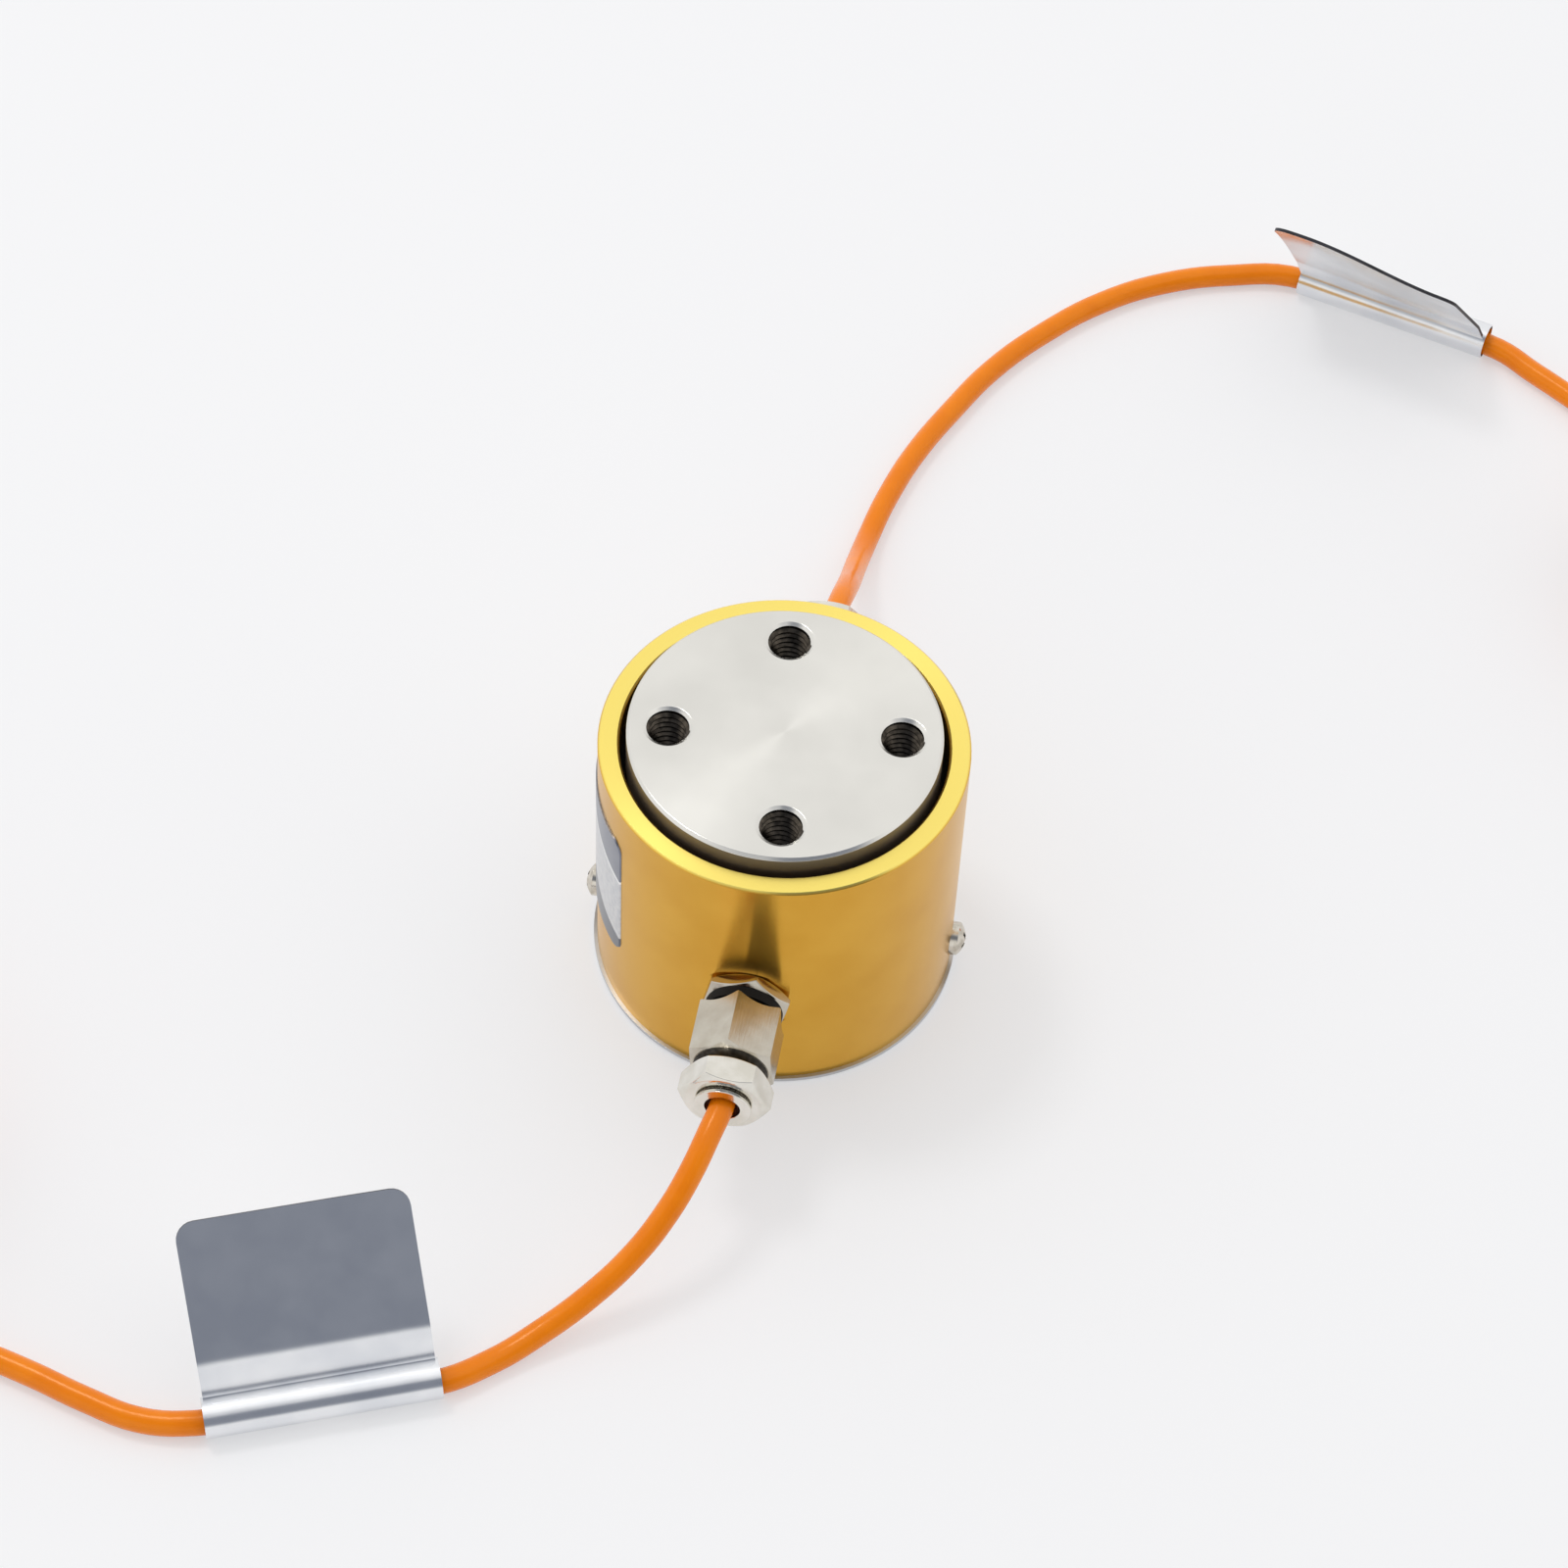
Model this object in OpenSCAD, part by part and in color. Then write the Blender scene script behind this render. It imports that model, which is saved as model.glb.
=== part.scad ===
// Cylindrical force and torque sensor with two cable glands and two tagged cables.
// The origin is at the centre of the underside, +Z points out of the loaded flange, and
// the glands look along -Y (front) and +Y (rear). Sizes are in millimetres.

/* [Housing sleeve] */
// Outer diameter of the sleeve
housing_d = 50; // [46:0.5:60]
// Thickness of the sleeve's wall
housing_wall = 2.9; // [2:0.1:3.2]
// Height of the sleeve above the base rim
sleeve_h = 42.6; // [38:0.1:60]
// Chamfer on the sleeve's edges
sleeve_edge = 0.3; // [0.2:0.1:0.8]

/* [Base plate] */
// How far the rim stands out past the sleeve
rim_overhang = 0.5; // [0.2:0.1:2]
// Thickness of the rim
rim_t = 1; // [0.8:0.1:2]
// Height of the spigot that locates the sleeve
spigot_h = 8.5; // [7.8:0.1:9.5]
// Diameter of the element's foot in its recess
foot_d = 20; // [19:0.5:21]
// Height of that foot
foot_h = 3; // [2:0.5:3]
// Thread of the screws that hold the element from below
element_screw_d = 3; // [2.5:0.5:3]
// Length of those screws under the head
element_screw_l = 8; // [7:0.5:8]
// Pitch circle of those screws
element_screw_pcd = 14; // [12:0.5:14]

/* [Sensing element] */
// Ring gap between the loaded flange and the sleeve
flange_gap = 0.9; // [0.8:0.1:2]
// Thickness of the loaded flange
flange_t = 13; // [11:0.5:14]
// How far the loaded flange stands proud of the sleeve
flange_proud = 2.4; // [1:0.1:4]
// Chamfer round the edges of the flange and the base plate
turned_edge = 0.4; // [0.2:0.1:0.8]
// Width of the square column between spigot and flange
column_w = 16; // [14:0.5:17]
// Width of the windows that thin the column into flexures
window_w = 8; // [6:0.5:9]
// Corner radius of the windows
window_r = 2.5; // [1:0.5:2.8]
// Distance of a window's centre from the nearer end of the column
window_inset = 7; // [6:0.5:8]

/* [Mounting holes] */
// Pitch circle of the four holes in each end face
hole_pcd = 31.3; // [29:0.1:33]
// Thread of the mounting holes
hole_thread = 6; // [4:0.5:6]
// Pitch of that thread
hole_pitch = 1; // [0.5:0.1:1]
// Diameter of the countersunk mouths
hole_mouth_d = 6.4; // [6.2:0.1:8]
// Depth of the holes in the loaded flange
top_hole_l = 9; // [7:0.5:10]
// Depth of the holes in the base
base_hole_l = 7.5; // [6:0.5:8]
// Turn of the hole pattern about the axis
hole_turn = 8; // [0:1:12]

/* [Seals and clearances] */
// Section of the O-ring between spigot and sleeve
o_ring_d = 1.5; // [1.2:0.1:1.8]
// Squeeze of that O-ring
o_ring_squeeze = 0.35; // [0.2:0.05:0.4]
// Radial clearance of the spigot in the sleeve
register_gap = 0.05; // [0.02:0.01:0.1]
// Radial clearance in every screw thread
thread_gap = 0.05; // [0.02:0.01:0.1]
// Height of the soft ring that closes the gap round the flange
gap_seal_h = 2.5; // [1.5:0.1:4]
// Depth of that ring below the sleeve's top edge
gap_seal_drop = 6; // [1.5:0.1:7]

/* [Sleeve screws] */
// Thread of the screws that hold the sleeve
sleeve_screw_d = 2.5; // [2:0.5:3]
// Length of those screws under the head
sleeve_screw_l = 6; // [5:0.5:6.5]
// Diameter of the heads
sleeve_head_d = 4.7; // [4:0.1:5.4]
// Height of the heads at the rim
sleeve_head_edge = 1.1; // [0.6:0.1:1.4]
// Rise of the domed tops
sleeve_head_dome = 1; // [0.3:0.1:1.2]
// Height of the screws above the base
sleeve_screw_z = 5.7; // [5.3:0.1:6.2]

/* [Nameplate] */
// Height of the plate
plate_h = 24.1; // [15:0.1:26]
// Width of the plate, measured straight across
plate_w = 32.7; // [20:0.1:36]
// Thickness of the plate
plate_t = 0.2; // [0.1:0.05:0.5]
// Height of its lower edge above the base
plate_z = 12.4; // [11:0.1:16]
// Radius of its corners
plate_r = 1.8; // [0.5:0.1:3]

/* [Cable glands] */
// Height of the glands above the base
gland_z = 18.5; // [17:0.1:21]
// Thread of the glands
gland_thread = 8; // [7.5:0.1:8.6]
// Width across flats of locknut, body and nut
hex_af = 11; // [10.2:0.1:12]
// Thickness of the locknut
locknut_t = 2; // [1.5:0.1:3]
// Turn of the locknut about the gland's axis
locknut_turn = 18; // [0:1:60]
// Outer diameter of the black seal ring
seal_ring_d = 10.6; // [9.8:0.1:11]
// Thickness of the seal ring
seal_ring_t = 1.4; // [0.8:0.1:2]
// Length of the body's hexagon
gland_hex_l = 8.6; // [6:0.1:12]
// Turn of the body's hexagon
gland_hex_turn = 35.5; // [0:0.5:60]
// Diameter of the neck that shows below the nut
neck_d = 9; // [8.8:0.1:10]
// Length of that neck
neck_l = 1.4; // [0.5:0.1:3]
// Length of the nut's hexagon
gland_nut_l = 4; // [3.5:0.1:6]
// Turn of the nut
gland_nut_turn = 54.5; // [0:0.5:60]
// Diameter of the boss on the nut's face
boss_d = 7.7; // [6.5:0.1:9]
// Height of the boss
boss_h = 0.8; // [0.6:0.1:1.5]
// Width of the groove behind the boss
boss_groove_w = 0.3; // [0.2:0.1:0.4]
// Depth of that groove
boss_groove_deep = 0.5; // [0.3:0.1:0.8]
// Diameter of the nut's mouth
mouth_d = 4.8; // [4.6:0.1:5.4]
// Thickness of the shoulder that presses on the grommet
shoulder_t = 1.2; // [0.8:0.1:1.5]
// Diameter of the bore through the body
gland_bore = 4.4; // [4.2:0.1:5]
// Outer diameter of the rubber grommet
grommet_d = 6.8; // [6:0.1:7]
// Length of the grommet
grommet_l = 7.2; // [5:0.1:9]
// Reach of the gland past the inside of the sleeve
gland_reach = 1.5; // [1.2:0.1:2]

/* [Strain gauges and boards] */
// Width of a strain gauge
gauge_w = 5; // [3:0.5:6]
// Height of a strain gauge
gauge_h = 6; // [4:0.5:7]
// Thickness of a gauge with its cover
gauge_t = 0.3; // [0.2:0.05:0.5]
// Thickness of the terminal boards
board_t = 1.2; // [0.8:0.1:1.6]
// Inner diameter of the boards
board_inner_d = 25; // [24.5:0.5:27]
// Clearance between the boards and the sleeve
board_gap = 1; // [0.5:0.1:1.4]
// Slit between the two boards
board_slit = 0.8; // [0.4:0.1:1.2]
// Thread of the board screws
board_screw_d = 2; // [1.6:0.1:2]
// Length of the board screws under the head
board_screw_l = 4; // [3:0.5:5]
// Diameter of a gauge lead
lead_d = 0.3; // [0.2:0.05:0.4]
// Diameter of a core of the cable
core_d = 0.6; // [0.4:0.05:0.65]
// Number of cores in each cable
cores = 4; // [2:1:4]

/* [Cables and tags] */
// Diameter of the cables
cable_d = 3.4; // [3:0.1:3.8]
// Length of a tag along its cable
tag_l = 31; // [20:0.5:34]
// Width of a tag's flag
flag_w = 23.5; // [10:0.5:30]
// Thickness of the folded label film
film_t = 0.25; // [0.15:0.05:0.4]
// Play of the cable in the tag's loop
tag_play = 0.8; // [0.3:0.05:1.2]
// Radius of the flag's corners
flag_r = 2.5; // [1:0.5:4]
// Lean of the front flag above the floor
front_flag_lean = 44; // [20:1:90]
// Lean of the rear flag above the floor
rear_flag_lean = 127; // [60:1:130]
// Skew of the front flag's sides, as the film was folded
front_flag_skew = 1; // [0:1:10]
// Skew of the rear flag's sides
rear_flag_skew = 8; // [0:1:10]
// How far a flag's sides stand in from the ends of its loop
flag_set = 0.3; // [0.2:0.1:1]
// Turns side by side in a cable's coil
coil_wide = 3; // [3:1:6]
// Layers of turns in the coil
coil_high = 5; // [1:1:5]
// Diameter of a coil at the middle of its turns
coil_mean_d = 36.5; // [34:0.5:42]
// Thickness of the straps that tie the coil
strap_t = 0.6; // [0.4:0.1:1]
// Width of those straps
strap_w = 4; // [2:0.5:6]

/* [Hidden] */
$fn = 64;

// Overshoot that keeps cutters clear of the faces they pass through
cut = 1;

// Proportions of standard screw heads to their threads, and play round a sunk head
socket_head_share = 1.83;
socket_key_share = 0.83;
pan_head_share = 1.8;
pan_height_share = 0.65;
head_play = 0.4;
head_sink = 0.2;

// Flat end of a turned hexagon as a share of its width across flats
end_face_share = 0.95;

// Housing
housing_r = housing_d / 2;
sleeve_bore_r = housing_r - housing_wall;
sleeve_top = rim_t + sleeve_h;

// Base plate and sensing element
spigot_r = sleeve_bore_r - register_gap;
spigot_top = rim_t + spigot_h;
flange_top = sleeve_top + flange_proud;
flange_bottom = flange_top - flange_t;
flange_r = sleeve_bore_r - flange_gap;
column_h = flange_bottom - spigot_top;
lower_window_z = spigot_top + window_inset;
upper_window_z = flange_bottom - window_inset;
groove_play = 0.1;
groove_h = o_ring_d + groove_play;
groove_land = 1;
groove_z = rim_t + groove_land;
groove_r = sleeve_bore_r - o_ring_d + o_ring_squeeze;
foot_z = spigot_top - foot_h;
element_head_d = socket_head_share * element_screw_d;
element_head_h = element_screw_d;
element_head_seat = element_head_h + head_sink;
element_screw_tip = element_head_seat + element_screw_l;
socket_af = socket_key_share * element_screw_d;
tap_r = (hole_thread - hole_pitch) / 2;
mouth_l = hole_mouth_d / 2 - tap_r;

// Sleeve screws: the heads seat on flats that are as wide as the heads
screw_seat_r = sqrt(pow(housing_r, 2) - pow(sleeve_head_d / 2, 2));
screw_thread_r = sleeve_screw_d / 2 - thread_gap;
screw_tip_r = screw_seat_r - sleeve_screw_l;
tip_room = 0.3;
head_flat_d = sleeve_head_d + head_play;
head_h = sleeve_head_edge + sleeve_head_dome;
recess_share = 0.6;
recess_l = recess_share * sleeve_head_d;
recess_w = 0.6;
recess_deep = 0.9;

// Glands: distances from the sensor's axis, each stacked on the one before
gland_seat = sqrt(pow(housing_r, 2) - pow(hex_af / 2, 2));
hex_corner_d = hex_af / cos(30);
hex_play = 0.3;
gland_flat_d = hex_corner_d + hex_play;
gland_male_r = gland_thread / 2 - thread_gap;
gland_inner_end = sleeve_bore_r - gland_reach;
locknut_end = gland_seat + locknut_t;
seal_ring_end = locknut_end + seal_ring_t;
gland_hex_end = seal_ring_end + gland_hex_l;
neck_end = gland_hex_end + neck_l;
nut_end = neck_end + gland_nut_l;
gland_tip = nut_end + boss_h;
shoulder = nut_end - shoulder_t;
thread_runout = 0.4;
male_end = shoulder - thread_runout;
grommet_start = shoulder - grommet_l;

// Boards, leads and cores
board_top = spigot_top + board_t;
board_r = sleeve_bore_r - board_gap;
board_screw_pcd = board_inner_d / 2 + board_r;
board_screw_turn = 60;
board_head_d = pan_head_share * board_screw_d;
board_head_h = pan_height_share * board_screw_d;
lead_bend = 1;
lead_pitch = 2.4;
lead_rest = 1.5;
core_bend = 1.5;
core_play = 0.1;
core_pitch = core_d + core_play;
strip_back = 0.5;
core_start = gland_inner_end + strip_back;
core_out = 1.5;

// Cables: a cable lies on the floor at its own radius, and inside a tag on one film
cable_r = cable_d / 2;
cable_sides = 8;
lay = cable_r;
tag_lay = cable_r + film_t;
low_turn = cable_r + strap_t;
tag_inner_r = cable_r + tag_play;
tag_outer_r = tag_inner_r + film_t;
coil_inner_r = (coil_mean_d - coil_wide * cable_d) / 2;
coil_outer_r = (coil_mean_d + coil_wide * cable_d) / 2;
coil_h = coil_high * cable_d;
coil_top = strap_t + coil_h;
coil_corner = cable_r / 2;
entry_r = coil_outer_r - cable_r;

// Free end of each cable, on top of its coil
end_sleeve_t = 0.2;
end_sleeve_l = 12;
end_jacket_l = 6;
end_core_l = 5;
tail_z = coil_top + cable_r + end_sleeve_t;
tail_from = 60;
tail_sweep = 90;

// Route of the front cable: out of its gland, down to the floor, through its tag to the coil
front_route = [
    [0, -core_start, gland_z], [0, -27, gland_z], [0, -34, gland_z], [0, -41.5, gland_z],
    [-1, -46.5, 17.8], [-2.5, -51.5, 15.5], [-4.6, -56, 12.5], [-8, -61, 8.8],
    [-13, -66.4, 5.2], [-18.5, -71.5, 2.7], [-24, -76.5, lay], [-28.8, -80.3, tag_lay],
    [-36.4, -83.5, tag_lay], [-44.2, -86.7, tag_lay], [-52, -89.9, tag_lay], [-59.6, -93, tag_lay],
    [-66.8, -93.8, lay], [-74.6, -92.2, lay], [-82.2, -90, lay], [-90, -88.2, lay],
    [-98.5, -87.2, lay], [-107, -87, 1.9], [-114, -87, 2.2], [-121, -87, low_turn]
];

// Route of the rear cable, from its gland to its coil
rear_route = [
    [0, core_start, gland_z], [0, 27, gland_z], [0, 34, gland_z], [0, 41.5, gland_z],
    [0.5, 47, 17.4], [0.8, 52.5, 14.4], [0.7, 58, 10], [0.6, 63.5, 6.2],
    [0.8, 70, 2.8], [1.5, 76, lay], [3, 83.5, lay], [5.5, 92, lay], [9.5, 101.5, lay],
    [14.5, 111.5, lay], [21.4, 121, lay], [29.5, 129.4, lay], [38.5, 135.5, lay],
    [48.5, 139.4, lay], [58, 141, tag_lay], [66.5, 138.8, tag_lay], [75, 136.5, tag_lay],
    [83.5, 134.2, tag_lay], [92, 132, tag_lay], [98, 128.3, lay], [104.5, 124, lay],
    [112, 118.6, lay], [120.5, 115.5, 1.9], [129, 114.5, low_turn]
];

// Each coil lies where its outer turn carries on from the end of the route
front_end = front_route[len(front_route) - 1];
rear_end = rear_route[len(rear_route) - 1];
coil_bite = 0.5;
lead_in = sqrt(pow(coil_outer_r, 2) - pow(entry_r, 2)) - coil_bite;
front_coil_at = [front_end[0] - lead_in, front_end[1] + entry_r, 0];
rear_coil_at = [rear_end[0] + lead_in, rear_end[1] - entry_r, 0];

// Ends of the stretches that the tags hold straight
front_tag_from = front_route[11];
front_tag_to = front_route[15];
rear_tag_from = rear_route[18];
rear_tag_to = rear_route[22];

// ---------------------------------------------------------------- helpers

// Square with round corners, centred on the origin
module rounded_rect(w, h, r) {
    square([w - 2 * r, h], center = true);
    square([w, h - 2 * r], center = true);
    for (x = [-1, 1], y = [-1, 1])
        translate([x * (w / 2 - r), y * (h / 2 - r)]) circle(r);
}

// Lays what is drawn along +Z on the housing's axis so that it points out of one side
module facing_front(z) translate([0, 0, z]) rotate([90, 0, 0]) children();
module facing_rear(z) rotate([0, 0, 180]) facing_front(z) children();
module facing_right(z) translate([0, 0, z]) rotate([0, 90, 0]) children();
module facing_left(z) rotate([0, 0, 180]) facing_right(z) children();

// Four copies on the pitch circle of the mounting holes
module at_mounting_holes() {
    for (i = [0:3])
        rotate([0, 0, hole_turn + 90 * i]) translate([hole_pcd / 2, 0, 0]) children();
}

// Tapped hole from z = 0 downwards with a countersunk mouth
module tapped_hole(l) {
    translate([0, 0, -l]) cylinder(r = tap_r, h = l + cut);
    translate([0, 0, -mouth_l]) cylinder(r1 = tap_r, r2 = tap_r + mouth_l + cut, h = mouth_l + cut);
}

// Hexagon whose outer end, and inner end unless it is sawn square, is turned to 30 degrees
module turned_hexagon(l, square_start = false) {
    face_r = end_face_share * hex_af / 2;
    rim_r = hex_corner_d / 2 + cut;
    rise = (rim_r - face_r) * tan(30);
    start_r = square_start ? rim_r : face_r;
    start_rise = square_start ? 0 : rise;
    start_drop = square_start ? cut : 0;
    intersection() {
        cylinder(d = hex_corner_d, h = l, $fn = 6);
        rotate_extrude() polygon([
            [0, -start_drop], [start_r, -start_drop], [rim_r, start_rise],
            [rim_r, l - rise], [face_r, l], [0, l]
        ]);
    }
}

// Quarter bend in the XZ plane that turns from +X at the origin to -Z
module quarter_bend(d, bend_r)
    translate([0, 0, -bend_r]) rotate([90, 0, 0]) rotate_extrude(angle = 90)
        translate([bend_r, 0]) circle(d = d, $fn = 16);

// Tube swept along a route by rings that stay square to it
function unit(v) = v / norm(v);
function heading(p, i) = unit(p[min(i + 1, len(p) - 1)] - p[max(i - 1, 0)]);
function across(t) = unit(cross(t, [0, 0, 1]));
function ring(c, t, r, m) = [
    for (k = [0:m - 1]) let (a = 360 * (k + 0.5) / m)
        c + r * (cos(a) * across(t) + sin(a) * cross(across(t), t))
];
function side_faces(n, m) = [
    for (i = [0:n - 2], k = [0:m - 1])
        each [
            [i * m + k, i * m + (k + 1) % m, (i + 1) * m + (k + 1) % m],
            [i * m + k, (i + 1) * m + (k + 1) % m, (i + 1) * m + k]
        ]
];
module swept_tube(p, r) {
    n = len(p);
    m = cable_sides;
    polyhedron(
        points = [for (i = [0:n - 1]) each ring(p[i], heading(p, i), r, m)],
        faces = concat(
            [[for (k = [0:m - 1]) m - 1 - k]],
            side_faces(n, m),
            [[for (k = [0:m - 1]) (n - 1) * m + k]]
        )
    );
}

// ---------------------------------------------------------------- sensor

// Rim, spigot with its O-ring groove, and a recess that locates the element's foot
module base_plate() {
    rim_r = housing_r + rim_overhang;
    color("darkgray") difference() {
        rotate_extrude() polygon([
            [0, 0], [rim_r - turned_edge, 0], [rim_r, turned_edge], [rim_r, rim_t],
            [spigot_r, rim_t], [spigot_r, groove_z], [groove_r, groove_z],
            [groove_r, groove_z + groove_h], [spigot_r, groove_z + groove_h],
            [spigot_r, spigot_top - turned_edge], [spigot_r - turned_edge, spigot_top],
            [foot_d / 2 + register_gap, spigot_top], [foot_d / 2 + register_gap, foot_z], [0, foot_z]
        ]);
        at_mounting_holes() mirror([0, 0, 1]) tapped_hole(base_hole_l);
        sleeve_screw_holes(sleeve_screw_d / 2, screw_tip_r - tip_room);
        at_board_screws() translate([0, 0, -board_screw_l - tip_room])
            cylinder(d = board_screw_d, h = board_screw_l + tip_room + cut);
        at_element_screws() {
            translate([0, 0, -cut]) cylinder(d = element_screw_d + 4 * thread_gap, h = spigot_top + cut);
            translate([0, 0, -cut]) cylinder(d = element_head_d + head_play, h = element_head_seat + cut);
        }
    }
}

// One piece: foot, flexure column with crossed windows, and loaded flange
module sensing_element() {
    color("silver") difference() {
        union() {
            translate([0, 0, foot_z]) cylinder(d = foot_d, h = foot_h);
            translate([-column_w / 2, -column_w / 2, spigot_top])
                cube([column_w, column_w, column_h + cut]);
            rotate_extrude() polygon([
                [0, flange_bottom], [flange_r - turned_edge, flange_bottom],
                [flange_r, flange_bottom + turned_edge], [flange_r, flange_top - turned_edge],
                [flange_r - turned_edge, flange_top], [0, flange_top]
            ]);
        }
        facing_front(lower_window_z) translate([0, 0, -column_w]) linear_extrude(2 * column_w)
            rounded_rect(window_w, window_w, window_r);
        facing_right(upper_window_z) translate([0, 0, -column_w]) linear_extrude(2 * column_w)
            rounded_rect(window_w, window_w, window_r);
        translate([0, 0, flange_top]) at_mounting_holes() tapped_hole(top_hole_l);
        at_element_screws() cylinder(d = element_screw_d, h = element_screw_tip + tip_room);
    }
}

// Places of the four screws that hold the element, between the mounting holes
module at_element_screws() {
    for (i = [0:3])
        rotate([0, 0, hole_turn + 45 + 90 * i]) translate([element_screw_pcd / 2, 0, 0]) children();
}

// Four socket head screws from below into the element
module element_screws() {
    socket_deep = element_head_h / 2;
    color("dimgray") at_element_screws() difference() {
        union() {
            translate([0, 0, element_head_seat - element_head_h])
                cylinder(d = element_head_d, h = element_head_h);
            translate([0, 0, element_head_seat - cut / 2])
                cylinder(r = element_screw_d / 2 - thread_gap, h = element_screw_l + cut / 2);
        }
        translate([0, 0, element_head_seat - element_head_h - cut])
            cylinder(d = socket_af / cos(30), h = socket_deep + cut, $fn = 6);
    }
}

// Radial holes for the two sleeve screws, from an inner radius out to free air
module sleeve_screw_holes(r, from) {
    facing_left(sleeve_screw_z) translate([0, 0, from]) cylinder(r = r, h = housing_d);
    facing_right(sleeve_screw_z) translate([0, 0, from]) cylinder(r = r, h = housing_d);
}

// Flat and tapped hole for one gland, drawn along +Z
module gland_port() {
    cylinder(d = gland_thread, h = housing_d);
    translate([0, 0, gland_seat]) cylinder(d = gland_flat_d, h = housing_d);
}

// Tube that slips over the spigot, with flats where glands and screws seat
module housing_sleeve() {
    color("goldenrod") difference() {
        rotate_extrude() polygon([
            [sleeve_bore_r, rim_t], [housing_r, rim_t],
            [housing_r, sleeve_top - sleeve_edge], [housing_r - sleeve_edge, sleeve_top],
            [sleeve_bore_r + sleeve_edge, sleeve_top], [sleeve_bore_r, sleeve_top - sleeve_edge]
        ]);
        facing_front(gland_z) gland_port();
        facing_rear(gland_z) gland_port();
        sleeve_screw_holes(sleeve_screw_d / 2 + 2 * thread_gap, 0);
        facing_left(sleeve_screw_z) translate([0, 0, screw_seat_r])
            cylinder(d = head_flat_d, h = housing_d);
        facing_right(sleeve_screw_z) translate([0, 0, screw_seat_r])
            cylinder(d = head_flat_d, h = housing_d);
    }
}

// Domed screw with a cross recess, drawn along +Z from the axis
module sleeve_screw() {
    dome_r = (pow(sleeve_head_d / 2, 2) + pow(sleeve_head_dome, 2)) / (2 * sleeve_head_dome);
    color("gainsboro") difference() {
        translate([0, 0, screw_seat_r]) union() {
            intersection() {
                cylinder(d = sleeve_head_d, h = head_h);
                translate([0, 0, head_h - dome_r]) sphere(dome_r);
            }
            translate([0, 0, -sleeve_screw_l]) cylinder(r = screw_thread_r, h = sleeve_screw_l + cut / 2);
        }
        for (turn = [0, 90])
            rotate([0, 0, turn])
                translate([-recess_l / 2, -recess_w / 2, screw_seat_r + head_h - recess_deep])
                    cube([recess_l, recess_w, recess_deep + cut]);
    }
}
module sleeve_screw_left() facing_left(sleeve_screw_z) sleeve_screw();
module sleeve_screw_right() facing_right(sleeve_screw_z) sleeve_screw();

// Thin plate wrapped round the left side of the sleeve
module nameplate() {
    color("lightsteelblue") intersection() {
        difference() {
            cylinder(r = housing_r + plate_t, h = sleeve_top);
            translate([0, 0, -cut]) cylinder(r = housing_r, h = sleeve_top + 2 * cut);
        }
        facing_left(plate_z + plate_h / 2) linear_extrude(housing_d)
            rounded_rect(plate_h, plate_w, plate_r);
    }
}

// O-ring squeezed between its groove and the sleeve
module base_o_ring() {
    section_w = o_ring_d - o_ring_squeeze;
    color("dimgray") rotate_extrude() intersection() {
        translate([groove_r + section_w / 2, groove_z + groove_h / 2]) circle(d = o_ring_d);
        translate([groove_r, groove_z]) square([section_w, groove_h]);
    }
}

// Soft ring that closes the gap between flange and sleeve below the sleeve's edge
module gap_seal() {
    top = sleeve_top - gap_seal_drop;
    color("dimgray") difference() {
        translate([0, 0, top - gap_seal_h]) cylinder(r = sleeve_bore_r, h = gap_seal_h);
        translate([0, 0, top - gap_seal_h - cut]) cylinder(r = flange_r, h = gap_seal_h + 2 * cut);
    }
}

// Foil gauge on a face of the column, drawn on its +X face
module strain_gauge(z) {
    color("peru") translate([column_w / 2, -gauge_w / 2, z - gauge_h / 2])
        cube([gauge_t, gauge_w, gauge_h]);
}
module strain_gauge_left() rotate([0, 0, 180]) strain_gauge(lower_window_z);
module strain_gauge_right() strain_gauge(lower_window_z);
module strain_gauge_front() rotate([0, 0, -90]) strain_gauge(upper_window_z);
module strain_gauge_rear() rotate([0, 0, 90]) strain_gauge(upper_window_z);

// Places of the four board screws, on the spigot's top face
module at_board_screws() {
    for (side = [-90, 90], turn = [-board_screw_turn, board_screw_turn])
        rotate([0, 0, side + turn]) translate([board_screw_pcd / 2, 0, spigot_top]) children();
}

// Half ring board on the spigot, drawn on the +Y side
module terminal_board() {
    color("seagreen") difference() {
        translate([0, 0, spigot_top]) cylinder(r = board_r, h = board_t);
        translate([0, 0, spigot_top - cut]) cylinder(d = board_inner_d, h = board_t + 2 * cut);
        translate([-housing_r, -housing_d + board_slit / 2, spigot_top - cut])
            cube([housing_d, housing_d, board_t + 2 * cut]);
        at_board_screws() translate([0, 0, -cut])
            cylinder(d = board_screw_d + 4 * thread_gap, h = board_t + 2 * cut);
    }
}
module front_terminal_board() rotate([0, 0, 180]) terminal_board();
module rear_terminal_board() terminal_board();

// Four pan head screws that hold the boards
module board_screws() {
    color("gainsboro") at_board_screws() {
        translate([0, 0, board_t]) cylinder(d = board_head_d, h = board_head_h);
        translate([0, 0, board_t - board_screw_l])
            cylinder(r = board_screw_d / 2 - thread_gap, h = board_screw_l + board_head_h / 2);
    }
}

// Lead that drops from a gauge on the +X face and lies down on a board
module gauge_lead(from_z) {
    x = column_w / 2 + gauge_t / 2;
    z = board_top + lead_d / 2;
    end = board_inner_d / 2 + lead_rest;
    translate([x, 0, z + lead_bend]) cylinder(d = lead_d, h = from_z - z - lead_bend, $fn = 16);
    translate([x + lead_bend, 0, z]) rotate([0, 180, 0]) quarter_bend(lead_d, lead_bend);
    translate([x + lead_bend, 0, z]) rotate([0, 90, 0])
        cylinder(d = lead_d, h = end - x - lead_bend, $fn = 16);
}

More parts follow.
